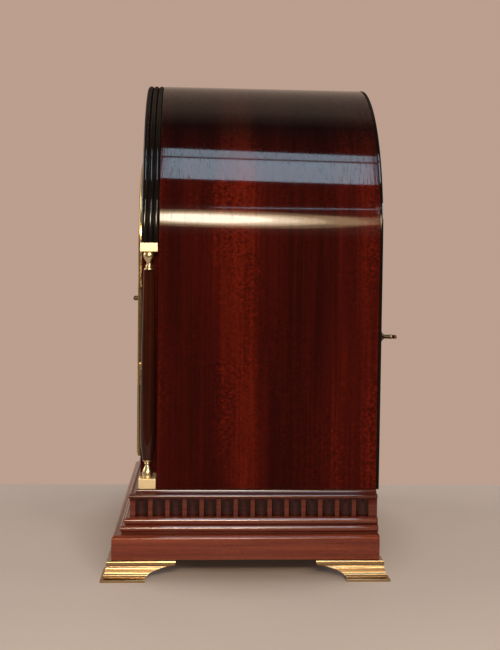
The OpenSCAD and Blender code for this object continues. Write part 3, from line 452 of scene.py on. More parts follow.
metal_tone = add(metal, "ShaderNodeMix", data_type="RGBA")
feed(metal, dulling, metal_tone.inputs[0])
feed(metal, metal_in.outputs["Bright"], metal_tone.inputs[6])
feed(metal, metal_in.outputs["Dull"], metal_tone.inputs[7])
feed(metal, metal_tone.outputs[2], metal_out.inputs["Color"])
unevenness = sum_of(metal, "ADD", sum_of(metal, "MULTIPLY", rubbing, 0.6), dulling)
haze = sum_of(metal, "MULTIPLY", metal_in.outputs["Haze"], unevenness)
feed(metal, sum_of(metal, "ADD", metal_in.outputs["Polish"], haze), metal_out.inputs["Roughness"])
feed(metal, sum_of(metal, "ADD", rubbing, sum_of(metal, "MULTIPLY", drift, 2.0)), metal_out.inputs["Height"])
print("metal surface group has", len(metal.nodes), "nodes")


# %% [markdown]
# ## The finishes
# French polish is a deep clear coat over stained wood: the wood itself is fairly rough and the
# coat is smooth, so the colour stays deep and the reflections stay sharp. The shader's coat is
# just that. The grain of each part of the case follows the wood as it was sawn, so each finish
# turns the pattern by a Mapping node.


# %% A finish and its coordinates
def new_finish(name):
    """A material with an empty Principled shader, its tree, and Object coordinates."""
    material = bpy.data.materials.new(name)
    material.use_nodes = True
    tree = material.node_tree
    shader = tree.nodes["Principled BSDF"]
    place = add(tree, "ShaderNodeTexCoord").outputs["Object"]
    return material, tree, shader, place


def placed_group(tree, group, place, turn=(0, 0, 0), scale=(1, 1, 1), offset=(0, 0, 0)):
    """A shared group fed with turned Object coordinates."""
    mapping = add(tree, "ShaderNodeMapping")
    mapping.inputs["Rotation"].default_value = turn
    mapping.inputs["Scale"].default_value = scale
    mapping.inputs["Location"].default_value = offset
    feed(tree, place, mapping.inputs["Vector"])
    made = add(tree, "ShaderNodeGroup", node_tree=group)
    feed(tree, mapping.outputs[0], made.inputs["Vector"])
    return made


def bumped(tree, height, shader, strength, distance):
    """Raises the surface by a height pattern."""
    bump = add(tree, "ShaderNodeBump")
    bump.inputs["Strength"].default_value = strength
    bump.inputs["Distance"].default_value = distance
    feed(tree, height, bump.inputs["Height"])
    feed(tree, bump.outputs["Normal"], shader.inputs["Normal"])
    return bump


def wrapped(tree, place):
    """Coordinates that run up the side of the case and on over its arch, as the veneer does."""
    parts = add(tree, "ShaderNodeSeparateXYZ")
    feed(tree, place, parts.inputs[0])
    above = sum_of(tree, "SUBTRACT", parts.outputs["Z"], spring_height)
    outward = sum_of(tree, "ABSOLUTE", parts.outputs["X"])
    round_top = sum_of(tree, "MULTIPLY", sum_of(tree, "ARCTAN2", above, outward), body_radius)
    over = sum_of(tree, "GREATER_THAN", above, 0.0)
    along = sum_of(tree, "ADD", sum_of(tree, "MULTIPLY", over, round_top),
                   sum_of(tree, "MULTIPLY", sum_of(tree, "SUBTRACT", 1.0, over), above))
    made = add(tree, "ShaderNodeCombineXYZ")
    feed(tree, sum_of(tree, "MULTIPLY", parts.outputs["X"], 0.12), made.inputs["X"])
    feed(tree, parts.outputs["Y"], made.inputs["Y"])
    feed(tree, along, made.inputs["Z"])
    return made.outputs[0]


def ribboned(tree, place, stops):
    """Broad ribbons at chosen shares of the case's depth, which waver as they rise."""
    parts = add(tree, "ShaderNodeSeparateXYZ")
    feed(tree, place, parts.inputs[0])
    from_front = sum_of(tree, "SUBTRACT", parts.outputs["Y"], front_plane)
    share = sum_of(tree, "DIVIDE", from_front, case_high.y - front_plane)
    swing = sum_of(tree, "SUBTRACT", stretched(tree, place, (5, 5, 4), 2, 0.5), 0.5)
    waver = sum_of(tree, "MULTIPLY", swing, 0.22)
    return ramp(tree, sum_of(tree, "ADD", share, waver), stops)


def rise_over_arch(tree, place):
    """Share of the quarter arch that a place has climbed: 0 at the springing, 1 at the crown."""
    parts = add(tree, "ShaderNodeSeparateXYZ")
    feed(tree, place, parts.inputs[0])
    return sum_of(tree, "DIVIDE", parts.outputs["Z"], math.pi / 2 * body_radius)


def painted_crown_shade(tree, colour, rise):
    """Painted shade: darkens the colour towards the crown of the arch, as if less light fell there."""
    mixed = add(tree, "ShaderNodeMix", data_type="RGBA", blend_type="MULTIPLY")
    feed(tree, ramp(tree, rise, [(0.2, 0.0), (0.46, 1.0)]), mixed.inputs[0])
    feed(tree, colour, mixed.inputs[6])
    mixed.inputs[7].default_value = (0.2, 0.5, 0.8, 1)
    return mixed.outputs[2]


def mitred(tree, place, node):
    """Coordinates whose Z runs along each side of a mitred frame, as its grain does."""
    low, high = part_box(node)
    parts = add(tree, "ShaderNodeSeparateXYZ")
    feed(tree, place, parts.inputs[0])
    x, y = parts.outputs["X"], parts.outputs["Y"]
    from_side = sum_of(tree, "SUBTRACT", high.x, sum_of(tree, "ABSOLUTE", x))
    from_ends = sum_of(tree, "MINIMUM", sum_of(tree, "SUBTRACT", y, low.y),
                       sum_of(tree, "SUBTRACT", high.y, y))
    on_end = sum_of(tree, "LESS_THAN", from_ends, from_side)
    across_to_along = sum_of(tree, "MULTIPLY", on_end, sum_of(tree, "SUBTRACT", x, y))
    made = add(tree, "ShaderNodeCombineXYZ")
    feed(tree, sum_of(tree, "SUBTRACT", x, across_to_along), made.inputs["X"])
    feed(tree, parts.outputs["Z"], made.inputs["Y"])
    feed(tree, sum_of(tree, "ADD", y, across_to_along), made.inputs["Z"])
    return made.outputs[0]


def darker_in_hollows(tree, colour, place, deep):
    """Darkens a colour in the hollows of the frieze, a little less where a point lies the full depth in."""
    low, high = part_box("fluted_frieze")
    parts = add(tree, "ShaderNodeSeparateXYZ")
    feed(tree, place, parts.inputs[0])
    from_side = sum_of(tree, "SUBTRACT", high.x, sum_of(tree, "ABSOLUTE", parts.outputs["X"]))
    from_ends = sum_of(tree, "MINIMUM", sum_of(tree, "SUBTRACT", parts.outputs["Y"], low.y),
                       sum_of(tree, "SUBTRACT", high.y, parts.outputs["Y"]))
    depth = sum_of(tree, "DIVIDE", sum_of(tree, "MINIMUM", from_side, from_ends), deep)
    mixed = add(tree, "ShaderNodeMix", data_type="RGBA", blend_type="MULTIPLY")
    feed(tree, ramp(tree, depth, [(0.03, 0.0), (0.12, 1.0), (0.7, 1.0), (1.0, 0.82)]), mixed.inputs[0])
    feed(tree, colour, mixed.inputs[6])
    mixed.inputs[7].default_value = (0.17, 0.11, 0.12, 1)
    return mixed.outputs[2]


# %% Wooden finishes
def wooden(name, turn=(0, 0, 0), wrap=False, colours=None, mottle=0.5, coat=1.0, offset=(0, 0, 0),
           ribbons=None, hollow=None, frame_of=None, crown_gloss=1.0, ripple=0.0, coat_ior=1.34):
    """French polished wood. Wrap lays its grain over the arch, frame_of along a mitred node."""
    material, tree, shader, place = new_finish(name)
    seen_place = place
    if wrap:
        place = wrapped(tree, place)
    if frame_of:
        place = mitred(tree, place, frame_of)
    figure = placed_group(tree, wood, place, turn=turn, offset=offset)
    if ribbons:
        feed(tree, ribboned(tree, place, ribbons), figure.inputs["Ribbon"])
        # The case's figure gets painted shade towards the crown of the arch.
        figure_colour = painted_crown_shade(tree, figure.outputs["Color"], rise_over_arch(tree, place))
    else:
        figure_colour = figure.outputs["Color"]
    if colours:
        for label, colour in zip(("Dark", "Middle", "Light"), colours):
            figure.inputs[label].default_value = (*colour, 1)
    figure.inputs["Mottle"].default_value = mottle
    colour = darker_in_hollows(tree, figure_colour, seen_place, hollow) if hollow else figure_colour
    feed(tree, colour, shader.inputs["Base Color"])
    shader.inputs["Roughness"].default_value = 0.6
    shader.inputs["Specular IOR Level"].default_value = 0.0 if coat else 0.3
    if coat:
        gloss = ramp(tree, figure.outputs["Pores"], [(0.0, coat), (1.0, 0.45 * coat)])
        if crown_gloss < 1:
            fade = ramp(tree, rise_over_arch(tree, place), [(0.3, 1.0), (0.75, crown_gloss)])
            gloss = sum_of(tree, "MULTIPLY", gloss, fade)
        feed(tree, gloss, shader.inputs["Coat Weight"])
    if ripple:
        polish_marks = add(tree, "ShaderNodeBump")
        polish_marks.inputs["Strength"].default_value = ripple
        polish_marks.inputs["Distance"].default_value = 0.0004
        feed(tree, figure.outputs["Height"], polish_marks.inputs["Height"])
        feed(tree, polish_marks.outputs[0], shader.inputs["Coat Normal"])
    shader.inputs["Coat Roughness"].default_value = 0.055
    shader.inputs["Coat IOR"].default_value = coat_ior
    bumped(tree, figure.outputs["Height"], shader, 0.08, 0.0004)
    return material


upright = (0, 0, 0)
across_width = (0, math.radians(90), 0)
deep_red = ((0.023, 0.0022, 0.0015), (0.05, 0.004, 0.0022), (0.115, 0.0095, 0.0036))
side_ribbons = [
    (0.0, 0.55), (0.09, 0.5), (0.17, 0.12), (0.28, 0.3), (0.34, 0.85), (0.42, 1.0), (0.49, 0.6), (0.56, 0.2),
    (0.74, 0.15), (0.86, 0.6), (1.0, 0.75),
]
case_mahogany = wooden("case_mahogany", wrap=True, colours=deep_red, mottle=0.8, ribbons=side_ribbons,
                       ripple=0.05)
front_mahogany = wooden("front_mahogany", upright, colours=deep_red, mottle=0.7)
door_mahogany = wooden("back_door_mahogany", upright, colours=deep_red, mottle=0.4, offset=(0.3, 0, 0))
plinth_red = ((0.03, 0.007, 0.005), (0.09, 0.016, 0.009), (0.2, 0.04, 0.018))
plinth_mahogany = wooden("plinth_mahogany", colours=plinth_red, mottle=0.2, frame_of="cap_moulding",
                         coat_ior=1.5)
frieze_mahogany = wooden("frieze_mahogany", colours=plinth_red, mottle=0.1, hollow=3 * MM,
                         frame_of="fluted_frieze")
rail_red = ((0.07, 0.014, 0.008), (0.165, 0.033, 0.017), (0.33, 0.075, 0.036))
rail_mahogany = wooden("rail_mahogany", colours=rail_red, mottle=0.25, frame_of="base_rail")
bead_mahogany = wooden("bead_mahogany", colours=rail_red, mottle=0.4, frame_of="step_moulding",
                       coat_ior=1.62)
shaft_red = ((0.009, 0.003, 0.0015), (0.028, 0.006, 0.003), (0.075, 0.014, 0.005))
shaft_mahogany = wooden("column_mahogany", upright, colours=shaft_red, mottle=0.15, offset=(0.7, 0.2, 0))
near_black = ((0.004, 0.003, 0.003), (0.008, 0.006, 0.005), (0.016, 0.011, 0.009))
ebonised = wooden("ebonised_wood", wrap=True, colours=near_black, mottle=0.1, crown_gloss=0.12)
oak = ((0.16, 0.08, 0.035), (0.3, 0.17, 0.08), (0.44, 0.28, 0.15))
plain_wood = wooden("inside_wood", across_width, colours=oak, mottle=0.1, coat=0.0)
print("wooden finishes:", len(bpy.data.materials))


# %% Metal finishes
def metallic(name, bright, dull, polish, haze, bump=0.05, scale=(1, 1, 1)):
    """Bare metal between a bright and a dull tone. Polish is its least roughness."""
    material, tree, shader, place = new_finish(name)
    surface = placed_group(tree, metal, place, scale=scale)
    surface.inputs["Bright"].default_value = (*bright, 1)
    surface.inputs["Dull"].default_value = (*dull, 1)
    surface.inputs["Polish"].default_value = polish
    surface.inputs["Haze"].default_value = haze
    feed(tree, surface.outputs["Color"], shader.inputs["Base Color"])
    feed(tree, surface.outputs["Roughness"], shader.inputs["Roughness"])
    shader.inputs["Metallic"].default_value = 1.0
    bumped(tree, surface.outputs["Height"], shader, bump, 0.0002)
    return material


polished_brass = metallic("polished_brass", (0.83, 0.62, 0.3), (0.55, 0.36, 0.15), 0.14, 0.2)
turned_brass = metallic("turned_brass", (0.78, 0.64, 0.37), (0.6, 0.46, 0.24), 0.24, 0.1, bump=0.02)
door_brass = metallic("door_brass", (0.56, 0.4, 0.19), (0.36, 0.23, 0.1), 0.12, 0.14, bump=0.03)
foot_brass = metallic("foot_brass", (0.36, 0.245, 0.125), (0.26, 0.165, 0.08), 0.2, 0.1, bump=0.03)
satin_brass = metallic("satin_brass", (0.78, 0.56, 0.27), (0.52, 0.34, 0.15), 0.27, 0.25)
matt_brass = metallic("matt_brass", (0.98, 0.82, 0.52), (0.88, 0.68, 0.4), 0.42, 0.1, bump=0.1)
dial_brass = metallic("dial_brass", (0.84, 0.64, 0.3), (0.7, 0.5, 0.22), 0.36, 0.2, bump=0.2,
                      scale=(4, 4, 4))
plate_brass = metallic("plate_brass", (0.82, 0.63, 0.31), (0.6, 0.42, 0.18), 0.22, 0.25, scale=(1, 1, 4))
silvered = metallic("silvered_ring", (0.82, 0.81, 0.77), (0.62, 0.6, 0.55), 0.34, 0.25, bump=0.15)
blued_steel = metallic("blued_steel", (0.02, 0.035, 0.16), (0.03, 0.02, 0.09), 0.16, 0.18)
bright_steel = metallic("bright_steel", (0.56, 0.56, 0.57), (0.36, 0.36, 0.37), 0.2, 0.25)
gong_steel = metallic("gong_steel", (0.42, 0.4, 0.38), (0.2, 0.17, 0.15), 0.28, 0.25)
dark_tip = metallic("dark_bronze", (0.3, 0.2, 0.12), (0.14, 0.09, 0.05), 0.3, 0.3)
key_bronze = metallic("key_bronze", (0.28, 0.14, 0.06), (0.16, 0.08, 0.035), 0.3, 0.2)
key_steel = metallic("key_steel", (0.06, 0.04, 0.025), (0.035, 0.022, 0.014), 0.3, 0.2)
print("finishes with the metals:", len(bpy.data.materials))


# %% Paint, cloth and glass
def painted(name, colour, rough=0.5):
    """Paint, wax or leather: one colour, unevenly worn."""
    material, tree, shader, place = new_finish(name)
    surface = placed_group(tree, metal, place)
    surface.inputs["Bright"].default_value = (*colour, 1)
    surface.inputs["Dull"].default_value = (*[c * 0.6 for c in colour], 1)
    surface.inputs["Polish"].default_value = rough
    surface.inputs["Haze"].default_value = 0.15
    feed(tree, surface.outputs["Color"], shader.inputs["Base Color"])
    feed(tree, surface.outputs["Roughness"], shader.inputs["Roughness"])
    bumped(tree, surface.outputs["Height"], shader, 0.2, 0.0003)
    return material


black_paint = painted("black_japan", (0.02, 0.02, 0.021), 0.4)
engraving_wax = painted("engraving_wax", (0.012, 0.011, 0.012), 0.35)
hammer_leather = painted("hammer_leather", (0.2, 0.1, 0.05), 0.75)

glass, tree, shader, place = new_finish("door_glass")
shader.inputs["Base Color"].default_value = (0.96, 0.985, 0.975, 1)
shader.inputs["Transmission Weight"].default_value = 1.0
shader.inputs["IOR"].default_value = 1.46
smears = stretched(tree, place, (30, 30, 70), 2, 0.5)
feed(tree, ramp(tree, smears, [(0.35, 0.0), (0.8, 0.05)]), shader.inputs["Roughness"])

silk, tree, shader, place = new_finish("fret_silk")
thread_scale = 420
threads = []
for along in ("X", "Z"):
    thread = add(tree, "ShaderNodeTexWave", wave_type="BANDS", bands_direction=along)
    thread.inputs["Scale"].default_value = thread_scale
    feed(tree, place, thread.inputs["Vector"])
    threads.append(thread.outputs["Fac"])
slubs = stretched(tree, place, (40, 40, 900), 2, 0.6)
weave = sum_of(tree, "MULTIPLY", *threads)
lightness = sum_of(tree, "ADD", sum_of(tree, "MULTIPLY", weave, 0.6), sum_of(tree, "MULTIPLY", slubs, 0.5))
crimson = [(0.15, (0.12, 0.008, 0.008)), (0.5, (0.3, 0.022, 0.018)), (0.85, (0.48, 0.06, 0.04))]
feed(tree, ramp(tree, lightness, crimson), shader.inputs["Base Color"])
shader.inputs["Roughness"].default_value = 0.55
shader.inputs["Sheen Weight"].default_value = 0.4
bumped(tree, weave, shader, 0.3, 0.0002)

# %% [markdown]
# ## The stage and the light
# The clock stands on a pale table in front of a plain tan wall. Two broad cool softboxes high on the
# right act as the panes of a window, and a narrow one as the light on its sill. The places, sizes
# and leans of these three were worked out beforehand: the edges of the bands that the photograph
# shows on the polished arch were traced back from the camera to where a lamp would stand. Nested
# warm lamps, each larger and fainter than the one before, give the soft bright bar below the bands.
# One softbox lights the brass, one the dial and one the back. None of them shows to the camera.
# What polished wood mirrors is a darker room than the one seen: the world and the far table tell
# such rays apart.

# %% Table
rest()
bpy.ops.mesh.primitive_grid_add(x_subdivisions=8, y_subdivisions=8, size=1)
table = settle(bpy.context.object)
table_left, table_right, table_long = -0.235, 3.4, 7.0
table_middle, table_wide = (table_left + table_right) / 2, table_right - table_left
for corner in table.data.vertices:
    corner.co = Vector((table_middle + corner.co.x * table_wide, corner.co.y * table_long, 0))
table.name = "table_top"
linen, tree, shader, place = new_finish("table_linen")
worn = stretched(tree, place, (3, 3, 3), 4, 0.55)
fibre = stretched(tree, place, (260, 260, 260), 3, 0.6)
linen_tones = [(0.3, (0.46, 0.385, 0.335)), (0.7, (0.52, 0.435, 0.38))]
feed(tree, ramp(tree, worn, linen_tones), shader.inputs["Base Color"])
shader.inputs["Roughness"].default_value = 0.6
# The table glows a little, and its glow fades to near black under and round the clock: a painted shadow of
# the clock.
clock_half_wide, clock_half_deep = 0.26, 0.20
spot = add(tree, "ShaderNodeMapping")
spot.inputs["Scale"].default_value = (1 / clock_half_wide, 1 / clock_half_deep, 1)
feed(tree, place, spot.inputs["Vector"])
from_clock = add(tree, "ShaderNodeVectorMath", operation="LENGTH")
feed(tree, spot.outputs[0], from_clock.inputs[0])
painted_shadow_glow, in_the_open = (0.02, 0.014, 0.01), (0.115, 0.1, 0.096)
glow_with_painted_shadow = ramp(tree, from_clock.outputs["Value"], [(0.62, painted_shadow_glow), (0.98, in_the_open)])
feed(tree, glow_with_painted_shadow, shader.inputs["Emission Color"])
shader.inputs["Emission Strength"].default_value = 1.0
bumped(tree, fibre, shader, 0.15, 0.0005)
room_shade, shade_from = (0.07, 0.055, 0.05), 0.5
in_shade = add(tree, "ShaderNodeEmission")
in_shade.inputs["Color"].default_value = (*room_shade, 1)
table_parts = add(tree, "ShaderNodeSeparateXYZ")
feed(tree, place, table_parts.inputs[0])
far_off = sum_of(tree, "GREATER_THAN", table_parts.outputs["X"], shade_from)
ray = add(tree, "ShaderNodeLightPath")
reflected = sum_of(tree, "MULTIPLY", ray.outputs["Is Glossy Ray"],
                   sum_of(tree, "LESS_THAN", ray.outputs["Is Transmission Ray"], 0.5))
table_mix = add(tree, "ShaderNodeMixShader")
feed(tree, sum_of(tree, "MULTIPLY", far_off, reflected), table_mix.inputs[0])
feed(tree, shader.outputs[0], table_mix.inputs[1])
feed(tree, in_shade.outputs[0], table_mix.inputs[2])
feed(tree, table_mix.outputs[0], tree.nodes["Material Output"].inputs["Surface"])
table.data.materials.append(linen)

# %% The room
world = bpy.data.worlds.new("studio")
bpy.context.scene.world = world
world.use_nodes = True
tree = world.node_tree
tree.nodes.clear()
direction = add(tree, "ShaderNodeTexCoord").outputs["Generated"]
parts = add(tree, "ShaderNodeSeparateXYZ")
feed(tree, direction, parts.inputs[0])
mirrored_wall = (0.5, 0.36, 0.28)
to_the_left = sum_of(tree, "MULTIPLY", parts.outputs["X"], -1.0)
behind = ramp(tree, to_the_left, [(0.02, room_shade), (0.3, mirrored_wall)])
wall_colour = (0.50, 0.345, 0.27, 1)
seen = add(tree, "ShaderNodeBackground")
seen.inputs["Color"].default_value = wall_colour
far_wall = ramp(tree, parts.outputs["Z"], [(0.08, 0.0), (0.18, 1.0), (0.34, 1.0), (0.44, 0.0)])
in_room = add(tree, "ShaderNodeMix", data_type="RGBA", blend_type="ADD")
to_the_right = sum_of(tree, "GREATER_THAN", parts.outputs["X"], 0.0)
feed(tree, sum_of(tree, "MULTIPLY", far_wall, to_the_right), in_room.inputs[0])
feed(tree, behind, in_room.inputs[6])
in_room.inputs[7].default_value = (0.36, 0.27, 0.21, 1)
mirrored_room = add(tree, "ShaderNodeBackground")
feed(tree, in_room.outputs[2], mirrored_room.inputs["Color"])
soft_light = add(tree, "ShaderNodeBackground")
soft_light.inputs["Color"].default_value = (1.0, 0.95, 0.9, 1)
soft_light.inputs["Strength"].default_value = 0.22
path = add(tree, "ShaderNodeLightPath")
glossy_mix = add(tree, "ShaderNodeMixShader")
camera_mix = add(tree, "ShaderNodeMixShader")
world_out = add(tree, "ShaderNodeOutputWorld")
feed(tree, path.outputs["Is Glossy Ray"], glossy_mix.inputs[0])
feed(tree, soft_light.outputs[0], glossy_mix.inputs[1])
feed(tree, mirrored_room.outputs[0], glossy_mix.inputs[2])
through = sum_of(tree, "MAXIMUM", path.outputs["Is Camera Ray"], path.outputs["Is Transmission Ray"])
feed(tree, through, camera_mix.inputs[0])
feed(tree, glossy_mix.outputs[0], camera_mix.inputs[1])
feed(tree, seen.outputs[0], camera_mix.inputs[2])
feed(tree, camera_mix.outputs[0], world_out.inputs["Surface"])
print("the room's world has", len(tree.nodes), "nodes")


# %% Lamps
def softbox(name, place, aim, width, height, radiance, colour, shape="RECTANGLE", lean=0.0):
    """A flat lamp of a given brightness, turned to face a point and leant in its own plane."""
    lamp = bpy.data.lights.new(name, "AREA")
    lamp.shape = shape
    lamp.size, lamp.size_y = width, height
    lamp.energy = radiance * math.pi * width * height
    lamp.color = colour
    made = bpy.data.objects.new(name, lamp)
    made.location = place
    facing = (Vector(aim) - Vector(place)).to_track_quat("-Z", "Y")
    made.rotation_mode = "QUATERNION"
    made.rotation_quaternion = facing @ Quaternion((0, 0, 1), math.radians(lean))
    made.visible_camera = False
    bpy.context.scene.collection.objects.link(made)
    return made


window_colour = (0.61, 0.82, 1.0)
for name, place, aim, width, height, radiance, lean in (
    ("window_low", (1.127, 0.141, 1.637), (-0.007, 0.566, 0.591), 0.578, 0.481, 10.4, 12.9),
    ("window_high", (0.838, 0.157, 1.824), (0.151, 1.185, 0.809), 0.756, 0.164, 8.4, 42.7),
    ("sill_glint", (1.608, 0.201, 1.01), (0.164, 0.04, 0.339), 0.42, 0.012, 12, 5.1),
):
    pane = softbox(name, place, aim, width, height, radiance, window_colour, lean=lean)
    pane.visible_diffuse = False
lamp_aim = (0.16, -0.03, 0.33)
lamp_rings = ((0.34, 0.16, 19), (0.46, 0.20, 12), (0.56, 0.26, 10), (0.76, 0.34, 4))
for ring, (width, height, radiance) in enumerate(lamp_rings):
    lamp_place = (1.65 + 0.003 * ring, -0.03 + 0.012 * ring, 0.76)
    lamp_colour = (1.0, 0.92 - 0.07 * ring, 0.8 - 0.14 * ring)
    softbox("lamp_low_%d" % ring, lamp_place, lamp_aim, width, height, radiance, lamp_colour, shape="ELLIPSE")
amber, warm_white, soft_white = (1.0, 0.66, 0.36), (1.0, 0.93, 0.82), (1.0, 0.97, 0.93)
softbox("lamp_spill", (1.65, 0.27, 0.79), (0.16, 0.05, 0.33), 0.44, 0.17, 3.6, amber, shape="ELLIPSE")
softbox("brass_light", (1.45, 0.62, 0.95), (0.16, -0.05, 0.2), 0.24, 0.30, 20, warm_white)
softbox("dial_light", (-0.5, -1.7, 1.0), (0, 0, 0.25), 1.3, 1.0, 2.6, soft_white)
softbox("back_light", (-0.3, 1.8, 1.1), (0, 0, 0.25), 1.3, 1.0, 2.2, soft_white)
print("lamps:", len(bpy.data.lights))


# %% [markdown]
# ## The CAD nodes that keep their shape
# The case, its mouldings and the movement are as the CAD says. A weld and a small bevel, both
# live modifiers, round their edges as sandpaper would, and leave their points where they are.


# %% Dress the CAD nodes
def dress(finish, *names, round_off=0.15 * MM, steps=1):
    """Gives CAD nodes a finish and live modifiers that ease their edges."""
    for name in names:
        node = nodes[name]
        node.data.materials.clear()
        node.data.materials.append(finish)
        hold(node)
        bpy.ops.object.shade_smooth()
        weld = node.modifiers.new("weld", "WELD")
        weld.merge_threshold = 0.02 * MM
        edges = node.modifiers.new("edges", "BEVEL")
        edges.width = round_off
        edges.segments = steps
        edges.limit_method = "ANGLE"
        edges.angle_limit = math.radians(35)
        weigh(node)


dress(case_mahogany, "carcase", round_off=0.8 * MM, steps=2)
dress(front_mahogany, "front_board", round_off=0.5 * MM)
dress(ebonised, "reeded_arch", "back_frame")
dress(plinth_mahogany, "cap_moulding")
dress(bead_mahogany, "step_moulding")
dress(frieze_mahogany, "fluted_frieze")
dress(rail_mahogany, "base_rail", round_off=0.5 * MM)
dress(plain_wood, "floor_board", "seat_board", "seat_cleats", round_off=0.4 * MM)
dress(door_mahogany, "back_door", round_off=0.6 * MM)
dress(polished_brass, "front_door", "front_hinge_leaves", "front_door_hinges")
dress(polished_brass, "back_hinge_leaves", "back_door_hinges")
dress(satin_brass, "back_fret", "back_escutcheon", "back_key", "front_feet", "back_feet")
dress(shaft_mahogany, "column_shaft_left", "column_shaft_right")
dress(matt_brass, "column_capitals", "column_bases")
dress(silk, "fret_cloth")
dress(glass, "front_glass")
dress(dark_tip, "front_knob")
dress(dial_brass, "dial_plate")
dress(silvered, "chapter_ring", "small_dial_rings", round_off=0.12 * MM)
dress(satin_brass, "spandrels")
dress(blued_steel, "minute_hand", "hour_hand", "silent_hand", "rate_hand", "tune_hand")
dress(plate_brass, "front_plate", "back_plate", "plate_pillars", "back_cock", round_off=0.3 * MM)
dress(plate_brass, "going_barrel", "strike_barrel", "chime_barrel")
dress(plate_brass, "third_wheel", "escape_wheel", "pin_barrel")
dress(polished_brass, "pendulum")
dress(bright_steel, "going_arbor", "strike_arbor", "chime_arbor", "pallet_anchor", "hammer_rod")
dress(plate_brass, "hammer_1", "hammer_2", "hammer_3", "hammer_4")
dress(black_paint, "gong_block", round_off=0.8 * MM)
dress(gong_steel, "gong_rods")
print("dressed", len(nodes), "nodes")

# %% [markdown]
# ## Corner columns
# A slim column stands at each front corner. Its shaft is turned from mahogany, swells low down and
# draws in to its neck. It stands between two brass mounts, each a square block with a small turned
# piece: an upturned bell above, a vase below. A lathe makes all of these, so each is a line spun
# round the column's axis. The line's corners are cut twice, which gives a turner's soft curves.


# %% Column shafts
shaft_low, shaft_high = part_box("column_shaft_right")
column_x = (shaft_low.x + shaft_high.x) / 2
column_y = (shaft_low.y + shaft_high.y) / 2
shaft_tall = shaft_high.z - shaft_low.z
foot_radius, swell_radius, neck_radius = 4.7 * MM, 7.0 * MM, 5.1 * MM
swell_share = 0.15


def shaft_radius(share):
    """Radius of the shaft at a share of its height."""
    if share < swell_share:
        return foot_radius + (swell_radius - foot_radius) * math.sin(math.pi / 2 * share / swell_share)
    rise = (share - swell_share) / (1 - swell_share)
    return neck_radius + (swell_radius - neck_radius) * math.cos(math.pi / 2 * rise)


shaft_steps = 40
shaft_line = [(shaft_radius(i / shaft_steps), shaft_tall * i / shaft_steps) for i in range(shaft_steps + 1)]
shaft_line = [(0, 0)] + shaft_line + [(0, shaft_tall)]
shaft = turned(shaft_line, (column_x, column_y, shaft_low.z), steps=40)
left_shaft = doubled(shaft, Matrix.Scale(-1, 4, (1, 0, 0)))
finished(smooth(shaft), "turned_column_right", "case", shaft_mahogany, ["column_shaft_right"])
finished(smooth(left_shaft), "turned_column_left", "case", shaft_mahogany, ["column_shaft_left"])

# %% Bells, vases and their blocks
block_half = 8 * MM
cap_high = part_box("column_capitals")[1]
foot_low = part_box("column_bases")[0]
cap_block_tall, foot_block_tall = 8 * MM, 9.4 * MM
bell_line = in_mm([
    (0, 0), (4.7, 0), (5.0, 1.2), (5.4, 3.0), (5.2, 4.8), (4.1, 7.0), (2.9, 8.8), (2.2, 10.4), (2.3, 11.8),
    (3.1, 12.6), (3.4, 13.6), (3.1, 14.5), (3.5, 15.0), (4.6, 15.3), (4.7, 16.6), (4.4, 17.0), (0, 17.0),
])
vase_line = in_mm([
    (0, 0), (4.3, 0), (4.6, 0.9), (5.0, 2.4), (5.0, 4.0), (4.7, 5.8), (3.9, 7.8), (2.9, 9.8), (2.2, 11.4),
    (2.2, 12.4), (3.1, 12.9), (3.2, 13.6), (2.6, 14.2), (2.8, 14.8), (4.1, 15.2), (4.3, 16.0), (4.1, 16.5),
    (0, 16.5),
])
cap_face = cap_high.z - cap_block_tall
foot_face = foot_low.z + foot_block_tall
bell = turned(eased(bell_line), (column_x, column_y, cap_face), axis=(0, 0, -1), steps=36)
vase = turned(eased(vase_line), (column_x, column_y, foot_face), steps=36)
cap_block = block((column_x - block_half, column_y - block_half, cap_face),
                  (column_x + block_half, column_y + block_half, cap_high.z), 0.35 * MM)
foot_block = block((column_x - block_half, column_y - block_half, foot_low.z),
                   (column_x + block_half, column_y + block_half, foot_face), 0.35 * MM)
for turning, square, name, replaced in (
    (bell, cap_block, "capital", "column_capitals"),
    (vase, foot_block, "base", "column_bases"),
):
    turnings, blocks = smooth(mirrored_pair(turning), 50), smooth(mirrored_pair(square))
    finished(turnings, name + "_turnings", "case", turned_brass, [replaced])
    finished(blocks, name + "_blocks", "case", matt_brass, [replaced])

# %% [markdown]
# ## Bracket feet
# Four cast brass feet carry the clock. Each is a bracket of one moulded section: a bead under the
# rail, a hollow band, a second bead and a spreading fillet on the floor. It turns the corner in a
# mitre, as a picture frame does. So the section is pulled into a straight bar, the bracket's curve
# is cut out from below, and the bar is cut at 45 degrees. Its mirror image is the other arm.


# %% One foot
feet_low, feet_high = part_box("front_feet")
foot_splay = 9.4 * MM
foot_corner = Vector((feet_high.x - foot_splay, feet_low.y + foot_splay, 0))
foot_section = [
    (9.4, 0), (9.4, 1.9), (9.1, 2.3), (8.2, 2.7), (7.2, 3.1), (6.5, 3.6), (6.2, 4.0), (6.6, 4.3), (6.9, 4.8),
    (6.95, 5.4), (6.7, 6.1), (6.2, 6.6), (5.8, 6.9), (5.5, 7.6), (5.05, 9.2), (4.6, 10.9), (4.2, 12.2),
    (3.6, 12.8), (3.5, 13.2), (3.9, 13.5), (4.25, 14.2), (4.4, 15.4), (4.3, 16.6), (3.9, 17.6), (3.4, 18.0),
    (-7, 18), (-7, 0),
]
bracket_curve = [
    (31, -1), (31, 3.4), (31.6, 4.6), (32.8, 5.9), (34.4, 7.2), (36.6, 8.5), (39.4, 9.8), (42.8, 11.1),
    (46.8, 12.3), (50.5, 13.0), (54.5, 13.5), (56.4, 13.9), (57.6, 14.9), (58.1, 16.2), (58.2, 17.4),
    (58.0, 18.6), (70, 18.6), (70, -1),
]
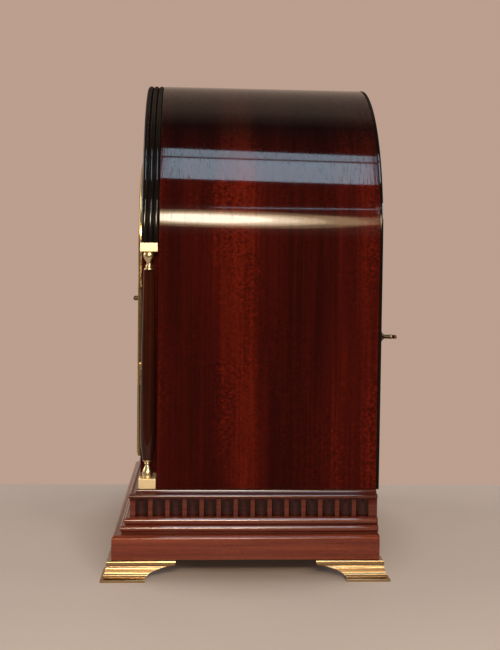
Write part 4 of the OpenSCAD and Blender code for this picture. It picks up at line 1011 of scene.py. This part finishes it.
overrun, bar_long, foot_tall = 12 * MM, 58.3 * MM, 18 * MM
half_cut = 30 * MM
arm = sawn([foot_corner + Vector((overrun, -out * MM, up * MM)) for out, up in foot_section],
           (-overrun - bar_long, 0, 0))
under = sawn([foot_corner + Vector((-inward * MM, -half_cut, up * MM)) for inward, up in bracket_curve],
             (0, 2 * half_cut, 0))
cut_away(arm, [under])
sliced(arm, foot_corner, (1, 1, 0))
swap = Matrix(((0, -1, 0, 0), (-1, 0, 0, 0), (0, 0, 1, 0), (0, 0, 0, 1)))
about_corner = Matrix.Translation(foot_corner) @ swap @ Matrix.Translation(-foot_corner)
foot = tidy(joined([arm, doubled(arm, about_corner)]), near=1e-5)
plate_side, plate_low = 40 * MM, 15 * MM
plate = block(foot_corner + Vector((-plate_side, 0, plate_low)),
              foot_corner + Vector((0, plate_side, foot_tall)), 0.2 * MM)
foot = joined([foot, plate])
print("one foot", len(foot.data.polygons), "faces")

# %% The four feet
back_feet_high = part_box("back_feet")[1]
mid_depth = (feet_low.y + back_feet_high.y) / 2
to_back = Matrix.Translation((0, 2 * mid_depth, 0)) @ Matrix.Scale(-1, 4, (0, 1, 0))
back_foot = doubled(foot, to_back)
for pattern, end in ((foot, "front"), (back_foot, "back")):
    pair = smooth(mirrored_pair(pattern), 34, weighed=False)
    finished(pair, "bracket_feet_" + end, "case", foot_brass, [end + "_feet"])

# %% [markdown]
# ## The front door's bezel
# The door is a moulded brass rim: a bead, a quirk and a slope down to the glass. The moulding runs
# up one side, over the arch and back, and across the foot with mitred corners. One section gives it
# all: it is spun a quarter turn for half the arch, and pulled straight for the side and the foot.


# %% Bezel
def ring_of(points):
    """A closed loop of edges with no face, left in edit mode and selected."""
    piece = drawn(points, close=True)
    bpy.ops.mesh.select_all(action="SELECT")
    bpy.ops.mesh.delete(type="ONLY_FACE")
    bpy.ops.mesh.select_all(action="SELECT")
    return piece


def pulled(points, pull):
    """The loop's wall, with both its ends open."""
    piece = ring_of(points)
    bpy.ops.mesh.extrude_region_move(TRANSFORM_OT_translate={"value": pull})
    bpy.ops.object.mode_set(mode="OBJECT")
    return piece


def swept(points, centre, angle, steps):
    """The loop's wall carried round an axis that runs from front to back."""
    piece = ring_of(points)
    bpy.ops.mesh.spin(steps=steps, angle=angle, center=centre, axis=(0, 1, 0))
    bpy.ops.object.mode_set(mode="OBJECT")
    return piece


door_low, door_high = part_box("front_door")
door_radius = door_high.x
door_spring = door_high.z - door_radius
bezel_line = [
    (90, -0.4), (90, -5.2), (89.7, -5.7), (89.2, -6.05), (88.5, -6.2), (87.7, -6.2), (87.5, -6.6),
    (87.1, -6.85), (86.5, -7.0), (85.5, -7.0), (84.8, -6.8), (84.4, -6.4), (84.2, -6.1), (82.5, -5.9),
    (80.5, -5.5), (79, -5.3), (78, -5.3), (78, -4.85), (80.4, -4.85), (80.4, -0.4),
]
side_loop = [(radius * MM, front_plane + y * MM, door_spring) for radius, y in bezel_line]
foot_loop = [(0, front_plane + y * MM, door_low.z + door_radius - radius * MM) for radius, y in bezel_line]
mitre = Vector((door_radius, 0, door_low.z))
past_mitre = 5 * MM
side = pulled(side_loop, (0, 0, -(door_spring - door_low.z) - past_mitre))
sliced(side, mitre, (1, 0, 1), keep_front=True)
across = pulled(foot_loop, (door_radius + past_mitre, 0, 0))
sliced(across, mitre, (1, 0, 1))
over = swept(side_loop, (0, 0, door_spring), math.pi / 2, 40)
print("arch tops out at", round(max(v.co.z for v in over.data.vertices), 4))
half = tidy(joined([side, across, over]), near=1e-5)
bezel = tidy(mirrored_pair(half), near=1e-5)
knob_low, knob_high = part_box("front_knob")
knob_x = (knob_low.x + knob_high.x) / 2
knob_z = (knob_low.z + knob_high.z) / 2
bore_radius, bore_deep = 1.85 * MM, 20 * MM
bore = turned([(0, 0), (bore_radius, 0), (bore_radius, bore_deep), (0, bore_deep)],
              (knob_x, front_plane + 5 * MM, knob_z), axis=(0, -1, 0), steps=24)
cut_away(bezel, [bore])
finished(smooth(bezel, 30), "door_bezel", "front_door", door_brass, ["front_door"])

# %% [markdown]
# ## The dial's markings
# The chapter ring is silvered brass, engraved and filled with black wax: Roman hours with four
# strokes for the fourth, and a minute track between two lines. Each numeral is built from three
# letters, I, V and X, each drawn once and copied. They stand a tenth of a millimetre proud, as
# the wax does. The winding holes cut through whatever they meet.

# %% Letters
wax_high = 0.12 * MM
letter_i = [
    (-1.7, 0), (1.7, 0), (1.7, 0.5), (1.0, 0.8), (1.0, 11.2), (1.7, 11.5), (1.7, 12), (-1.7, 12),
    (-1.7, 11.5), (-1.0, 11.2), (-1.0, 0.8), (-1.7, 0.5),
]
letter_v = [
    (-4.0, 12), (-0.4, 12), (-0.4, 11.5), (-1.15, 11.3), (0.62, 2.6), (2.5, 11.3), (1.8, 11.5), (1.8, 12),
    (3.9, 12), (3.9, 11.5), (3.1, 11.3), (0.6, 0), (-0.3, 0), (-3.35, 11.3), (-4.0, 11.5),
]
letter_x = [
    (-4.0, 12), (-0.4, 12), (-0.4, 11.5), (-1.1, 11.3), (0.46, 7.55), (2.3, 11.3), (1.6, 11.5), (1.6, 12),
    (3.7, 12), (3.7, 11.5), (2.9, 11.3), (0.73, 6.88), (3.3, 0.7), (4.0, 0.5), (4.0, 0), (0.4, 0), (0.4, 0.5),
    (1.1, 0.7), (-0.46, 4.45), (-2.3, 0.7), (-1.6, 0.5), (-1.6, 0), (-3.7, 0), (-3.7, 0.5), (-2.9, 0.7),
    (-0.73, 5.12), (-3.3, 11.3), (-4.0, 11.5),
]
letters = {}
for letter, outline in (("I", letter_i), ("V", letter_v), ("X", letter_x)):
    letters[letter] = sawn([(u * MM, 0, v * MM) for u, v in outline], (0, -wax_high, 0))
letter_width = {"I": 3.7 * MM, "V": 7.9 * MM, "X": 8.1 * MM}
print("letters:", {key: len(piece.data.polygons) for key, piece in letters.items()})


# %% Hours and minutes
def on_dial(centre, clock_angle, across, out):
    """The place of a mark: so far round the dial, so far from its centre, facing the reader."""
    turn = Matrix.Rotation(math.radians(clock_angle), 4, "Y")
    return Matrix.Translation(centre) @ turn @ Matrix.Translation((across, 0, out))


ring_face = Vector((0, ring_low.y, dial_height))
numeral_foot = 51.2 * MM
marks = []
for hour, numeral in enumerate(("XII", "I", "II", "III", "IIII", "V", "VI", "VII", "VIII", "IX", "X", "XI")):
    across = -sum(letter_width[letter] for letter in numeral) / 2
    for letter in numeral:
        middle = across + letter_width[letter] / 2
        marks.append(doubled(letters[letter], on_dial(ring_face, 30 * hour, middle, numeral_foot)))
        across += letter_width[letter]
for piece in letters.values():
    bpy.data.objects.remove(piece)


def line_ring(centre, radius, width, steps=120):
    """A thin raised circle of wax."""
    section = [(radius, 0), (radius, wax_high), (radius + width, wax_high), (radius + width, 0), (radius, 0)]
    return turned(section, centre, axis=(0, -1, 0), steps=steps)


def tick(width, inner, outer):
    """A short stroke that points outwards from the dial's centre."""
    half = width / 2
    outline = [(-half, 0, inner), (half, 0, inner), (half, 0, outer), (-half, 0, outer)]
    return sawn(outline, (0, -wax_high, 0))


track_in, track_out, line_width = 66.3 * MM, 69.3 * MM, 0.3 * MM
fine_tick = tick(0.35 * MM, track_in + line_width, track_out)
hour_tick = tick(1.1 * MM, track_in + line_width, track_out)
for minute in range(60):
    marks.append(doubled(fine_tick if minute % 5 else hour_tick, on_dial(ring_face, 6 * minute, 0, 0)))
marks += [line_ring(ring_face, track_in, line_width), line_ring(ring_face, track_out, line_width)]
chapter_marks = joined(marks)
hole_x, hole_drop, collet_radius = 50 * MM, 35.04 * MM, 6.7 * MM
reamer_radius, reamer_deep = collet_radius + 0.1 * MM, 4 * MM
for side_of in (-1, 1):
    hole_at = (side_of * hole_x, ring_low.y + reamer_deep / 2, dial_height - hole_drop)
    reamer = turned([(0, 0), (reamer_radius, 0), (reamer_radius, reamer_deep), (0, reamer_deep)], hole_at,
                    axis=(0, -1, 0), steps=40)
    cut_away(chapter_marks, [reamer])
finished(chapter_marks, "chapter_numerals", "case", engraving_wax)

# %% Small dials
dial_marks = []
small_rings_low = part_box("small_dial_rings")[0].y
side_dial_x, side_dial_z, side_dial_radius = 44 * MM, 289.5 * MM, 23 * MM
top_dial_z, top_dial_radius = 336.5 * MM, 29 * MM
rim, short_stroke, long_stroke = 1.7 * MM, 2.5 * MM, 3.9 * MM
small_dials = [
    (-side_dial_x, side_dial_z, side_dial_radius, 12),
    (side_dial_x, side_dial_z, side_dial_radius, 24),
    (0, top_dial_z, top_dial_radius, 16),
]
for x, z, radius, count in small_dials:
    centre = Vector((x, small_rings_low, z))
    track = radius - rim
    short = tick(0.35 * MM, track - short_stroke, track)
    long = tick(0.7 * MM, track - long_stroke, track)
    for step in range(count):
        pattern = short if step % 4 else long
        dial_marks.append(doubled(pattern, on_dial(centre, 360 * step / count, 0, 0)))
    dial_marks.append(line_ring(centre, track, line_width, steps=72))
    bpy.data.objects.remove(short)
    bpy.data.objects.remove(long)
bpy.data.objects.remove(fine_tick)
bpy.data.objects.remove(hour_tick)
finished(joined(dial_marks), "small_dial_marks", "case", engraving_wax)

# %% [markdown]
# ## Fittings
# Small fittings hold a clock together: slotted screws in the hinges and plates, rings that line the
# winding holes, the pin and collet that hold the hands, and leather round the hammer heads. A
# screw head is turned once, slotted once, and copied to each place.


# %% Screws
def round_row(count):
    """Angles of points spaced evenly round a circle."""
    return [2 * math.pi * index / count for index in range(count)]


def screw_head(radius):
    """A slotted round head at the origin that faces the front."""
    high = 0.36 * radius
    line = [(0, 0), (radius, 0), (radius, 0.3 * high), (0.8 * radius, 0.75 * high), (0.4 * radius, high)]
    head = turned(line + [(0, high)], (0, 0, 0), axis=(0, -1, 0), steps=20)
    slot_long, slot_half, slot_floor = 1.1 * radius, 0.14 * radius, -0.45 * high
    slot = block((-slot_long, -1.1 * high, -slot_half), (slot_long, slot_floor, slot_half), 0.02 * MM)
    return smooth(cut_away(head, [slot]), 30)


def screwed(pattern, places, face_y, tilt=0.5, to_back=False):
    """Copies of a screw at (x, z) places on a face, each stopped at its own angle."""
    turn = Matrix.Rotation(math.pi, 4, "Z") if to_back else Matrix.Identity(4)
    made = []
    for index, (x, z) in enumerate(places):
        stop = Matrix.Rotation(tilt + 1.9 * index, 4, "Y")
        made.append(doubled(pattern, Matrix.Translation((x, face_y, z)) @ turn @ stop))
    return made


small_screw, plate_screw = screw_head(1.7 * MM), screw_head(3.4 * MM)
leaf_low, leaf_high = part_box("front_hinge_leaves")
hinge_tall, back_hinge_tall = 21.6 * MM, 30 * MM
front_places = []
for hinge_foot in (leaf_low.z, leaf_high.z - hinge_tall):
    for inset, rise in ((4.2, 4.6), (4.2, 17.0), (10.2, 10.8)):
        front_places.append((leaf_high.x - inset * MM, hinge_foot + rise * MM))
leaf_thick = 1.2 * MM
front_screws = screwed(small_screw, front_places, front_plane - leaf_thick)
finished(joined(front_screws), "front_hinge_screws", "case", satin_brass)
back_low, back_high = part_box("back_hinge_leaves")
back_places = []
for hinge_foot in (back_low.z, back_high.z - back_hinge_tall):
    for rise in (5, 15, 25):
        back_places.append((back_low.x + 3.4 * MM, hinge_foot + rise * MM))
back_screws = screwed(small_screw, back_places, case_high.y + leaf_thick, to_back=True)
finished(joined(back_screws), "back_hinge_screws", "case", satin_brass)
from_dial_centre = ((-79, -69), (79, -69), (-79, 91), (79, 91), (-40, 91))
pillar_places = [(x * MM, dial_height + z * MM) for x, z in from_dial_centre]
rear_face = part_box("back_plate")[1].y
rear_screws = screwed(plate_screw, pillar_places, rear_face, to_back=True)
finished(joined(rear_screws), "plate_screws", "case", blued_steel)
bpy.data.objects.remove(plate_screw)

# %% Rings of the winding holes
collet_line = in_mm([(5.5, 0), (6.7, 0), (6.7, 0.25), (6.3, 0.7), (5.9, 0.85), (5.5, 0.75), (5.5, 0)])
middle_drop = 40.04 * MM
holes = ((-hole_x, hole_drop, ring_low.y), (hole_x, hole_drop, ring_low.y), (0, middle_drop, dial_face))
collets = []
for x, drop, face_y in holes:
    collets.append(turned(collet_line, (x, face_y, dial_height - drop), axis=(0, -1, 0), steps=40))
finished(smooth(joined(collets)), "winding_collets", "case", polished_brass)

# %% Collet and pin of the hands
boss_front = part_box("minute_hand")[0].y
cap_line = in_mm([
    (0, -0.5), (1.9, -0.5), (2.3, -0.2), (2.65, 0.3), (3.3, 1.1), (3.5, 1.7), (3.4, 1.95), (0, 1.95),
])
hand_cap = turned(cap_line, (0, boss_front, dial_height), axis=(0, 1, 0), steps=32)
finished(smooth(hand_cap), "hand_collet", "minute_hand", polished_brass)
rest()
thick_end, thin_end, pin_long = 0.55 * MM, 0.35 * MM, 9 * MM
bpy.ops.mesh.primitive_cone_add(vertices=16, radius1=thick_end, radius2=thin_end, depth=pin_long,
                                location=(0, boss_front - 0.1 * MM, dial_height),
                                rotation=(0, math.pi / 2, 0.0))
finished(smooth(settle(bpy.context.object)), "hand_pin", "minute_hand", bright_steel)

# %% Hammer leathers
leather_line = in_mm([
    (4.9, -2.2), (5.35, -2.2), (5.5, -1.8), (5.5, 1.8), (5.35, 2.2), (4.9, 2.2), (4.9, -2.2),
])
head_x, head_radius = 56 * MM, 5 * MM
for number in range(1, 5):
    hammer_low, hammer_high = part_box("hammer_%d" % number)
    head_at = (head_x, (hammer_low.y + hammer_high.y) / 2, hammer_low.z + head_radius)
    sleeve = turned(leather_line, head_at, axis=(0, 1, 0), steps=32)
    finished(smooth(sleeve), "hammer_leather_%d" % number, "hammer_%d" % number, hammer_leather)

# %% [markdown]
# ## Key, escutcheon and knob
# The key of the back door stays in its lock: a dark stem through a turned rosette, a ring, and a
# small pierced bow to turn it by. The front door's knob is turned in one piece with its neck. Both
# carry a tongue behind, which holds the door shut.

# %% Key and rosette
key_low, key_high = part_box("back_key")
scutcheon_low, scutcheon_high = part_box("back_escutcheon")
key_x = (scutcheon_low.x + scutcheon_high.x) / 2
key_z = (scutcheon_low.z + scutcheon_high.z) / 2
lock_face = scutcheon_low.y
stem_radius = 1.9 * MM
rosette_line = in_mm([
    (1.95, 0), (6.1, 0), (6.2, 0.4), (6.1, 0.9), (5.5, 1.2), (5.3, 1.7), (5.5, 2.6), (5.5, 3.6), (5.2, 4.4),
    (4.6, 5.1), (3.6, 5.7), (2.9, 6.3), (2.5, 6.9), (2.4, 7.1), (1.95, 7.1), (1.95, 0),
])
rosette = turned(rosette_line, (key_x, lock_face, key_z), axis=(0, 1, 0))
finished(smooth(rosette), "key_rosette", "case", key_steel, ["back_escutcheon"])
key_deep = lock_face - key_low.y
bow_long, bow_wide, bow_thick = 4.9 * MM, 12 * MM, 3.4 * MM
bow_y = key_high.y - bow_long / 2
stem_long = key_deep + 15 * MM
stem = turned([(0, 0), (stem_radius, 0), (stem_radius, stem_long), (0, stem_long)], (key_x, key_low.y, key_z),
              axis=(0, 1, 0), steps=32)
bow = sawn([(key_x + bow_wide / 2 * math.cos(a), bow_y + bow_long / 2 * math.sin(a), key_z - bow_thick / 2)
            for a in round_row(32)], (0, 0, bow_thick))
soften(bow, 0.7 * MM)
drill_radius, drill_deep, hole_apart = 1.35 * MM, 8 * MM, 3.1 * MM
drills = []
for shift in (-hole_apart, hole_apart):
    drill_at = (key_x + shift, bow_y + 0.2 * MM, key_z - drill_deep / 2)
    drills.append(turned([(0, 0), (drill_radius, 0), (drill_radius, drill_deep), (0, drill_deep)], drill_at,
                         steps=20))
cut_away(bow, drills)
tongue_half, tongue_thick = 2 * MM, 3 * MM
tongue = block((key_x - tongue_half, key_low.y, key_low.z),
               (key_x + tongue_half, key_low.y + tongue_thick, key_high.z), 0.3 * MM)
finished(smooth(joined([stem, tongue])), "key_stem", "back_key", key_steel, ["back_key"])
finished(smooth(bow), "key_bow", "back_key", key_bronze, ["back_key"])
ring_line = in_mm([(1.85, 12.9), (2.1, 13.0), (2.25, 13.8), (2.1, 14.7), (1.85, 14.8), (1.85, 12.9)])
key_ring = turned(ring_line, (key_x, lock_face, key_z), axis=(0, 1, 0), steps=32)
finished(smooth(key_ring), "key_collar", "back_key", dark_tip, ["back_key"])

# %% Knob
knob_back = knob_high.y
knob_line = in_mm([
    (0, 0), (1.8, 0), (1.8, 12.5), (3.9, 12.5), (4.0, 13.0), (3.6, 13.8), (2.2, 14.1), (1.6, 15.2),
    (1.4, 17.0), (1.6, 19.0), (2.2, 20.8), (2.7, 22.6), (2.8, 24.4), (2.5, 25.9), (1.7, 26.8), (0, 27.1),
])
knob = turned(knob_line, (knob_x, knob_back, knob_z), axis=(0, -1, 0), steps=32)
catch_half, catch_long, catch_thick = 1.8 * MM, 4 * MM, 2.4 * MM
catch = block((knob_x - catch_half, knob_back - catch_thick, knob_z - catch_long),
              (knob_x + catch_half, knob_back, knob_z + catch_long), 0.3 * MM)
finished(smooth(joined([knob, catch])), "door_knob", "front_knob", dark_tip, ["front_knob"])

# %% [markdown]
# ## The silk behind the fret
# The fret is backed with a panel of crimson silk, cut to the arch and glued round its edge, so that
# the chimes are heard and the dust stays out. Between its glued edges it ripples a little.

# %% Silk
silk_low, silk_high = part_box("fret_cloth")
silk_radius = silk_high.x
silk_spring = silk_high.z - silk_radius
silk_middle = (silk_low.y + silk_high.y) / 2
rest()
bpy.ops.mesh.primitive_grid_add(x_subdivisions=48, y_subdivisions=60, size=2)
panel = settle(bpy.context.object)
ripple = 0.12 * MM
for point in panel.data.vertices:
    across, share = point.co.x, (point.co.y + 1) / 2
    x = silk_radius * across
    top = silk_spring + math.sqrt(max(silk_radius**2 - x**2, 0))
    z = silk_low.z + share * (top - silk_low.z)
    held = min(1, 8 * (1 - abs(across))) * min(1, 8 * share, 8 * (1 - share))
    wave = math.sin(40 * across + 3 * share) * math.sin(9 * share + 2 * across)
    point.co = (x, silk_middle + ripple * held * wave, z)
hold(panel)
bpy.ops.object.shade_smooth()
finished(panel, "fret_silk_panel", "back_door", silk, ["fret_cloth"])

# %% [markdown]
# ## Corner mounts
# The spandrels fill the corners of the dial. Each is a cast mount of two scrolls that grow from a
# rosette, with three leaves towards the corner, fixed by one screw. A scroll is a spiral of wire
# that tapers to its eye. One corner is made along a diagonal and turned to all four.


# %% Spandrel scrolls
def tapered_wire(points, thickness, steps=3):
    """A round wire through points, with its own thickness at each."""
    line = bpy.data.curves.new("wire", "CURVE")
    line.dimensions = "3D"
    line.bevel_depth = 1.0
    line.bevel_resolution = steps
    line.use_fill_caps = True
    run = line.splines.new("POLY")
    run.points.add(len(points) - 1)
    for target, place, size in zip(run.points, points, thickness):
        target.co = (*place, 1)
        target.radius = size
    wire = bpy.data.objects.new("wire", line)
    bpy.context.scene.collection.objects.link(wire)
    hold(wire)
    bpy.ops.object.convert(target="MESH")
    return settle(bpy.context.object)


def leaf(tip, half_wide, root, lean):
    """A leaf with a ridge, from its root to its tip, leaning to one side."""
    outline = [(0, root), (half_wide * 0.7, root + 0.2 * tip), (half_wide, root + 0.5 * tip),
               (half_wide * 0.5, root + 0.8 * tip), (0, root + tip)]
    outline += [(-x, z) for x, z in outline[-2:0:-1]]
    blade = sawn([(x * MM, 0, z * MM) for x, z in outline], (0, -0.9 * MM, 0))
    soften(blade, 0.4 * MM)
    rib = tapered_wire([(0, -0.9 * MM, (root + tip * s) * MM) for s in (0.02, 0.3, 0.6, 0.92)],
                       [0.35 * MM, 0.45 * MM, 0.35 * MM, 0.12 * MM], steps=2)
    turn = Matrix.Rotation(lean, 4, "Y")
    return [doubled(blade, turn), doubled(rib, turn), blade, rib]


mount_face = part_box("spandrels")[0].y
mount_out = 88.75 * MM
parts_of_mount = []
spiral, wire_sizes = [], []
spiral_steps = 32
for step in range(spiral_steps + 1):
    share = step / spiral_steps
    angle = math.radians(200 + 500 * share)
    reach = (6.2 - 4.6 * share) * MM
    spiral.append((10.6 * MM + reach * math.cos(angle), -0.35 * MM, -1.0 * MM + reach * math.sin(angle)))
    wire_sizes.append((1.15 - 0.65 * share) * MM)
scroll = tapered_wire(spiral, wire_sizes)
parts_of_mount += [doubled(scroll, Matrix.Scale(-1, 4, (1, 0, 0))), scroll]
for tip, half_wide, root, lean in ((9.5, 2.3, 4.6, 0.0), (8.0, 2.0, 4.4, 0.75), (8.0, 2.0, 4.4, -0.75)):
    shaped = leaf(tip, half_wide, root, lean)
    parts_of_mount += shaped[:2]
    for pattern in shaped[2:]:
        bpy.data.objects.remove(pattern)
flower_line = in_mm([(0, 0), (5.0, 0), (5.0, 0.5), (4.4, 1.2), (3.6, 1.4), (3.0, 0.9), (2.4, 0.8), (0, 0.8)])
parts_of_mount.append(turned(flower_line, (0, 0, 0), axis=(0, -1, 0), steps=30))
mount = smooth(joined(parts_of_mount), 40)
corners, corner_screws = [], []
for angle in (45, 135, 225, 315):
    diagonal = Matrix.Translation((0, mount_face, dial_height)) @ Matrix.Rotation(math.radians(angle), 4, "Y")
    corners.append(doubled(mount, diagonal @ Matrix.Translation((0, 0, mount_out))))
    corner_screws.append(doubled(small_screw, diagonal @ Matrix.Translation((0, -0.8 * MM, mount_out))))
bpy.data.objects.remove(mount)
bpy.data.objects.remove(small_screw)
finished(joined(corners), "spandrel_scrolls", "case", polished_brass)
finished(joined(corner_screws), "spandrel_screws", "case", blued_steel)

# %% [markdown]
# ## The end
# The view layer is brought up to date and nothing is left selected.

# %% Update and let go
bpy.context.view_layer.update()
rest()
